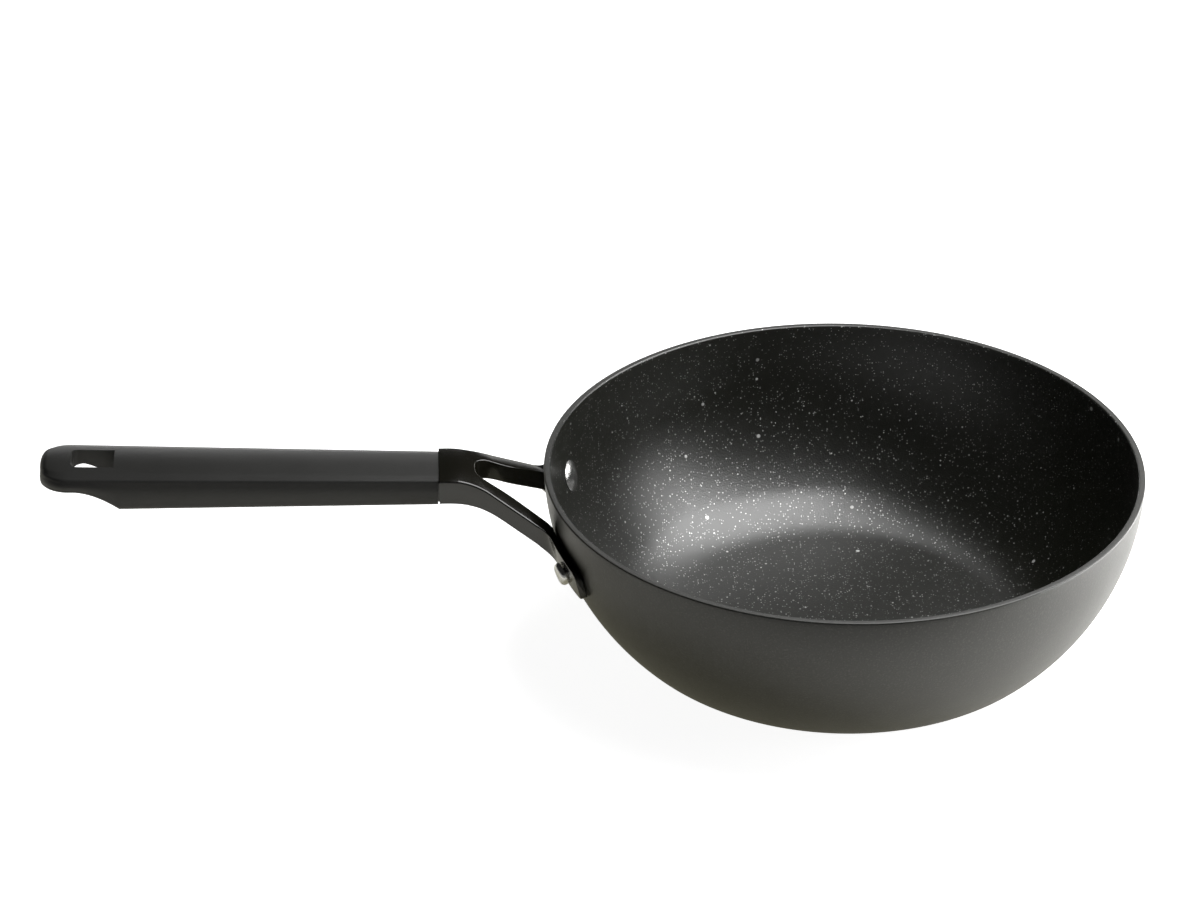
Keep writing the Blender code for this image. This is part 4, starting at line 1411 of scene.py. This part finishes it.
def grip_depth(along):
    """Depth of the side walls, which rise to a thin tab at the end."""
    full = between(GRIP_ROOT_DEPTH, GRIP_END_DEPTH, along / GRIP_LENGTH)
    rise = (along - GRIP_LENGTH + TAB_LENGTH) / TAB_RISE_LENGTH
    share = min(max(rise, 0.0), 1.0)
    return between(full, TAB_DEPTH, 1 - (1 - share) ** TAB_EASE)


def eased(share):
    """A share kept between 0 and 1, with soft ends."""
    share = min(max(share, 0.0), 1.0)
    return share * share * (3 - 2 * share)


def grip_belly(along):
    """How far the middle of the underside hangs below its edges, or is hollowed."""
    lip = eased((along - GRIP_LENGTH + LIP_LENGTH) / LIP_RUN)
    fade = (along - GRIP_LENGTH + TAB_LENGTH) / TAB_RISE_LENGTH + HOLLOW_LEAD
    return between(GRIP_BELLY, -TAB_HOLLOW * (1 - lip), eased(fade))


print("the grip is", round(1000 * grip_depth(GRIP_LENGTH / 2), 1), "mm deep at its middle")

# %% Rings of the grip
GRIP_ROOT_CROWN = 0.0011
GRIP_END_CROWN = 0.0025
GRIP_SIDE_BOW = 0.0007
GRIP_TOP_ROUND = 0.0016
GRIP_BOTTOM_ROUND = 0.0030
NOSE_TOP_ROUND = 0.0034
NOSE_BOTTOM_ROUND = 0.0010
ROUND_LIMIT = 0.4
HALF_STEPS = 8
BOW_SHARES = (0.15, 0.3, 0.5, 0.7, 0.85)
SHAFT_STEPS = 18
RISE_STEPS = 24
TAB_STEPS = 4
NOSE_STEPS = 28


def half_ring(along):
    """Half of a ring as (side, height), from the top's middle to the bottom's."""
    width = grip_half_width(along)
    depth = grip_depth(along)
    crown = between(GRIP_ROOT_CROWN, GRIP_END_CROWN, along / GRIP_LENGTH)
    belly = grip_belly(along) * width / GRIP_END_HALF_WIDTH
    top_round = min(GRIP_TOP_ROUND, width * ROUND_LIMIT)
    bottom_round = min(GRIP_BOTTOM_ROUND * depth / GRIP_ROOT_DEPTH, width * ROUND_LIMIT)
    edge = width - GRIP_SIDE_BOW
    sides = [(edge - top_round) * i / HALF_STEPS for i in range(HALF_STEPS)]
    half = [(side, crown * (1 - (side / width) ** 2)) for side in sides]
    half += arc((edge - top_round, -top_round), top_round, pi / 2, 0.0, HALF_STEPS)
    wall = depth - top_round - bottom_round
    for share in BOW_SHARES:
        bow = 4 * GRIP_SIDE_BOW * share * (1 - share)
        half.append((edge + bow, -top_round - wall * share))
    flat = edge - bottom_round
    half += arc((flat, -depth + bottom_round), bottom_round, 0.0, -pi / 2, HALF_STEPS)
    sides = [flat * i / HALF_STEPS for i in reversed(range(HALF_STEPS))]
    return half + [(side, -depth - belly * (1 - (side / flat) ** 2)) for side in sides]


def grip_ring(along):
    """A whole ring, squeezed where the nose rounds off."""
    half = half_ring(along)
    ring = half + [(-side, height) for side, height in reversed(half[1:-1])]
    top_drop = end_turn(along, NOSE_TOP_ROUND)
    bottom_rise = end_turn(along, NOSE_BOTTOM_ROUND)
    depth = grip_depth(along)
    points = []
    for side, height in ring:
        share = min(max(-height / depth, 0.0), 1.0)
        points.append(Vector((along, side, height + between(-top_drop, bottom_rise, share))))
    return points


def grip_stations():
    nose = GRIP_LENGTH - GRIP_CORNER
    tab = GRIP_LENGTH - TAB_LENGTH
    rise_end = tab + TAB_RISE_LENGTH
    stations = [tab * i / SHAFT_STEPS for i in range(SHAFT_STEPS + 1)]
    stations += [between(tab, rise_end, i / RISE_STEPS) for i in range(1, RISE_STEPS + 1)]
    stations += [between(rise_end, nose, i / TAB_STEPS) for i in range(1, TAB_STEPS + 1)]
    turns = [pi / 2 * i / NOSE_STEPS for i in range(1, NOSE_STEPS + 1)]
    return stations + [nose + GRIP_CORNER * sin(turn) for turn in turns]


print("grip rings:", len(grip_stations()), "of", len(grip_ring(0.0)), "points")

# %% The hanging slot
SLOT_LENGTH = 0.0198
SLOT_WIDTH = 0.0160
SLOT_END_WEB = 0.0142
SLOT_CORNER = 0.0030
SLOT_START = GRIP_LENGTH - SLOT_END_WEB - SLOT_LENGTH
SLOT_CORNER_STEPS = 10


def box_cutter(low, high):
    shape = bmesh.new()
    size = Vector(high) - Vector(low)
    fit = Matrix.Translation((Vector(high) + Vector(low)) / 2) @ Matrix.Diagonal((*size, 1.0))
    bmesh.ops.create_cube(shape, size=1.0, matrix=fit)
    return shape


def slot_outline():
    """Plan of the hanging slot: square towards the pan, rounded at the end."""
    end = SLOT_START + SLOT_LENGTH
    half = SLOT_WIDTH / 2
    centre = (end - SLOT_CORNER, half - SLOT_CORNER)
    upper = arc(centre, SLOT_CORNER, 0.0, pi / 2, SLOT_CORNER_STEPS) + [(SLOT_START, half)]
    return upper + [(x, -y) for x, y in reversed(upper)]


def tube(rings):
    """A closed skin over whole rings of points."""
    shape = bmesh.new()
    rows = [[shape.verts.new(point) for point in ring] for ring in rings]
    count = len(rows[0])
    for near, far in zip(rows, rows[1:]):
        for j in range(count):
            k = (j + 1) % count
            shape.faces.new((near[j], near[k], far[k], far[j]))
    shape.faces.new(list(reversed(rows[0])))
    shape.faces.new(rows[-1])
    return shape


def slot_cutter():
    """A straight prism on the slot's plan."""
    reach = GRIP_END_DEPTH * 2
    return tube([[(x, y, z) for x, y in slot_outline()] for z in (-reach, reach)])


def on_handle(name, shape):
    """An object from a bmesh that was drawn in the grip's frame."""
    shape.transform(grip_frame())
    return poured(name, shape)


print("the slot has", len(slot_outline()), "corners")

# %% Socket and bores of the grip
SCREW_SHANK_RADIUS = 0.0022
SCREW_HEAD_RADIUS = 0.0042
SCREW_HEAD_HEIGHT = 0.0028
SCREW_HEAD_SINK = 0.0010
HEAD_START = SLOT_START - SCREW_HEAD_SINK - SCREW_HEAD_HEIGHT
QUARTER_TURN = Matrix.Rotation(pi / 2, 4, "Y")
BORE_SIDES = 40


def grip_bar(name, start, end, radius):
    """A round cutter along the screw's line."""
    spot = Matrix.Translation(((start + end) / 2, 0.0, -TANG_DEPTH))
    return cylinder(name, radius, end - start, BORE_SIDES, grip_frame() @ spot @ QUARTER_TURN)


def grip_cutters():
    half_height = TANG_HEIGHT / 2 + FIT_GAP
    half_width = TANG_HALF_WIDTH + FIT_GAP
    socket = box_cutter(
        (-TANG_HEIGHT, -half_width, -TANG_DEPTH - half_height),
        (TANG_LENGTH + FIT_GAP, half_width, -TANG_DEPTH + half_height),
    )
    seat = HEAD_START - FIT_GAP
    return [
        on_handle("slot", slot_cutter()),
        on_handle("socket", socket),
        grip_bar("bore", TANG_LENGTH / 2, seat + FIT_GAP, SCREW_SHANK_RADIUS + FIT_GAP),
        grip_bar("counterbore", seat, SLOT_START + SLOT_LENGTH / 2, SCREW_HEAD_RADIUS + FIT_GAP),
    ]


# %% The grip
def make_grip():
    shape = tube([grip_ring(along) for along in grip_stations()])
    bmesh.ops.recalc_face_normals(shape, faces=shape.faces)
    grip = cut(on_handle("wok_grip", shape), *grip_cutters())
    grip.data.materials.clear()
    grip.data.materials.append(plastic)
    return tidy(grip)


grip = make_grip()

# %% [markdown]
# ## Grip screw
# One long screw holds the grip on: its thread ends in the tang and its head
# sits in a counterbore in the slot's wall, where a key reaches it.

# %% Grip screw
SCREW_SOCKET_RADIUS = 0.0016
SCREW_SOCKET_DEPTH = 0.0016
SCREW_ENGAGEMENT = 0.014
SCREW_CHAMFER = SCREW_SHANK_RADIUS * 0.4
SCREW_ROUND_SHARE = 0.6
SCREW_ROUND_STEPS = 10
SCREW_STEPS = 48


def screw_outline():
    tip = TANG_LENGTH - SCREW_ENGAGEMENT
    length = HEAD_START - tip
    crown = SCREW_HEAD_HEIGHT
    floor = crown - SCREW_SOCKET_DEPTH
    fillet = crown * SCREW_ROUND_SHARE
    centre = (SCREW_HEAD_RADIUS - fillet, crown * (1 - SCREW_ROUND_SHARE))
    outline = [(0.0, floor), (SCREW_SOCKET_RADIUS, floor), (SCREW_SOCKET_RADIUS, crown)]
    outline += arc(centre, fillet, pi / 2, 0.0, SCREW_ROUND_STEPS)
    return outline + [
        (SCREW_HEAD_RADIUS, 0.0),
        (SCREW_SHANK_RADIUS, 0.0),
        (SCREW_SHANK_RADIUS, SCREW_CHAMFER - length),
        (SCREW_SHANK_RADIUS - SCREW_CHAMFER, -length),
        (0.0, -length),
    ]


def make_screw():
    screw = turned("wok_grip_screw", screw_outline(), SCREW_STEPS, plated)
    spot = Matrix.Translation((HEAD_START, 0.0, -TANG_DEPTH))
    screw.data.transform(grip_frame() @ spot @ QUARTER_TURN)
    return tidy(screw)


screw = make_screw()

# %% [markdown]
# ## Handing the pieces over
# Each finer piece stands for one CAD solid: the solid is hidden here, and stays
# for the physics. Everything rides on the one body of this part.

# %% Hand over
STANDS_FOR = (
    (bowl, "bowl", "bowl_coating"),
    (disc, "base_disc", "disc_steel"),
    (fork, "fork", "fork_enamel"),
    (rivet_front, "rivet_front", "rivet_aluminium"),
    (rivet_rear, "rivet_rear", "rivet_aluminium"),
    (grip, "grip", "grip_plastic"),
    (screw, "grip_screw", "screw_steel"),
)
for piece, node_name, slot_name in STANDS_FOR:
    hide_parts(node_name)
    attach(piece, "root")
    low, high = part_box(node_name)
    print(node_name, "CAD corners in mm:", [round(1000 * v, 2) for v in (*low, *high)])

# %% [markdown]
# ## Studio
# A dark glossy pan shows its surroundings more than its own colour, so the
# studio is built from what it mirrors. One very large soft lamp hangs over the
# pan's right side: the left wall inside shines and the right one stays black.
# Two small cards at the right stretch that shine up the wall and lighten the
# rim's and the bowl's right edge, a low strip lights the floor beside the bowl,
# and a card behind draws the sheen along the handle's rear edge.
#
# The floor is white to the camera through Light Path. To reflections it glows
# only a little, and only near the pan: past the table's front edge it is dark,
# which draws the dark line under the handle's edge. The room is white at the
# horizon and black above, so that the dark coats stay dark.

# %% Floor
FLOOR_REACH = 14.0
FLOOR_DROP = 0.0002
FLOOR_ROUGHNESS = 0.9
TABLE_EDGE = (-0.40, -0.15)
TABLE_DARK = (0.15, 0.15, 0.15)
TABLE_LIGHT = (0.8, 0.8, 0.8)
FLOOR_WHITE = 0.93
FLOOR_GLOW = 0.25
FLOOR_GLOW_TINT = (1.0, 0.95, 0.70)


def seen_rays(tree):
    """Two masks: mirrored or refracted rays, and rays straight from the camera."""
    glossy = tree.node("ShaderNodeLightPath", out="Is Glossy Ray")
    return glossy.maximum(glossy.part("Is Transmission Ray")), glossy.part("Is Camera Ray")


def make_floor():
    mesh = bpy.data.meshes.new("floor")
    low, high = -FLOOR_REACH, FLOOR_REACH
    corners = [(low, low, 0), (high, low, 0), (high, high, 0), (low, high, 0)]
    mesh.from_pydata(corners, [], [(0, 1, 2, 3)])
    floor = plain_object("floor", mesh)
    floor.location.z = -FLOOR_DROP
    finish, tree, shader = new_finish("pale_floor", specular=0.0)
    shader.inputs["Roughness"].default_value = FLOOR_ROUGHNESS
    shader.inputs["Emission Strength"].default_value = 1.0
    depth = tree.node("ShaderNodeSeparateXYZ", {}, {"Vector": object_place(tree)}, out="Y")
    near = depth.ramped(*TABLE_EDGE)
    tree.feed(shader.inputs["Base Color"], blend_colours(tree, near, TABLE_DARK, TABLE_LIGHT))
    mirrored, direct = seen_rays(tree)
    glow, plain = mirrored * near * FLOOR_GLOW, direct * FLOOR_WHITE
    parts = [glow * share + plain for share in FLOOR_GLOW_TINT]
    tinted = tree.node("ShaderNodeCombineColor", {}, dict(enumerate(parts)))
    tree.feed(shader.inputs["Emission Color"], tinted)
    mesh.materials.append(finish)


make_floor()
print("the floor is white to the camera and dark past", TABLE_EDGE[0], "m")

# %% World
ROOM_LIGHT = 0.02
HORIZON_END = radians(0)
CEILING_START = radians(8)


def make_world():
    """A room that is white near the floor and dark above."""
    world = bpy.data.worlds.new("studio")
    bpy.context.scene.world = world
    world.use_nodes = True
    tree = Wire(world.node_tree)
    backdrop = world.node_tree.nodes["Background"]
    backdrop.inputs["Color"].default_value = (1.0, 1.0, 1.0, 1.0)
    look = tree.node("ShaderNodeTexCoord", out="Generated")
    upwards = tree.node("ShaderNodeSeparateXYZ", {}, {"Vector": look}, out="Z")
    low = 1 - upwards.ramped(sin(HORIZON_END), sin(CEILING_START))
    mirrored, direct = seen_rays(tree)
    seen = mirrored.maximum(direct)
    tree.feed(backdrop.inputs["Strength"], seen * low * (1 - ROOM_LIGHT) + ROOM_LIGHT)


make_world()
print("the room is dark from", round(CEILING_START * 180 / pi), "degrees up")


# %% Lamps
def soft_lamp(name, spot, target, width, height, radiance):
    """A rectangular area lamp that faces a target, as bright as it looks."""
    data = bpy.data.lights.new(name, "AREA")
    data.shape = "RECTANGLE"
    data.size = width
    data.size_y = height
    data.energy = radiance * pi * width * height
    lamp = bpy.data.objects.new(name, data)
    bpy.context.scene.collection.objects.link(lamp)
    lamp.location = spot
    aim = Vector(target) - Vector(spot)
    lamp.rotation_euler = aim.to_track_quat("-Z", "Y").to_euler()


soft_lamp("overhead", (0.515, 0.15, 0.80), (0.515, 0.15, 0.0), 1.07, 0.90, 4.8)
soft_lamp("right_card", (0.58, 0.04, 0.36), (0.15, 0.02, 0.0), 0.30, 0.30, 3.2)
soft_lamp("right_low", (0.55, 0.35, 0.14), (0.0, 0.35, 0.14), 0.30, 0.22, 4.3)
soft_lamp("right_floor", (0.38, 0.0, 0.07), (0.18, 0.0, 0.0), 0.44, 0.12, 9.5)
soft_lamp("behind", (-0.25, 1.20, 0.18), (-0.25, 0.0, 0.18), 0.50, 0.30, 2.3)
print("lamps:", ", ".join(lamp.name for lamp in bpy.data.lights))

# %% View settings
scene = bpy.context.scene
scene.view_settings.view_transform = "Standard"
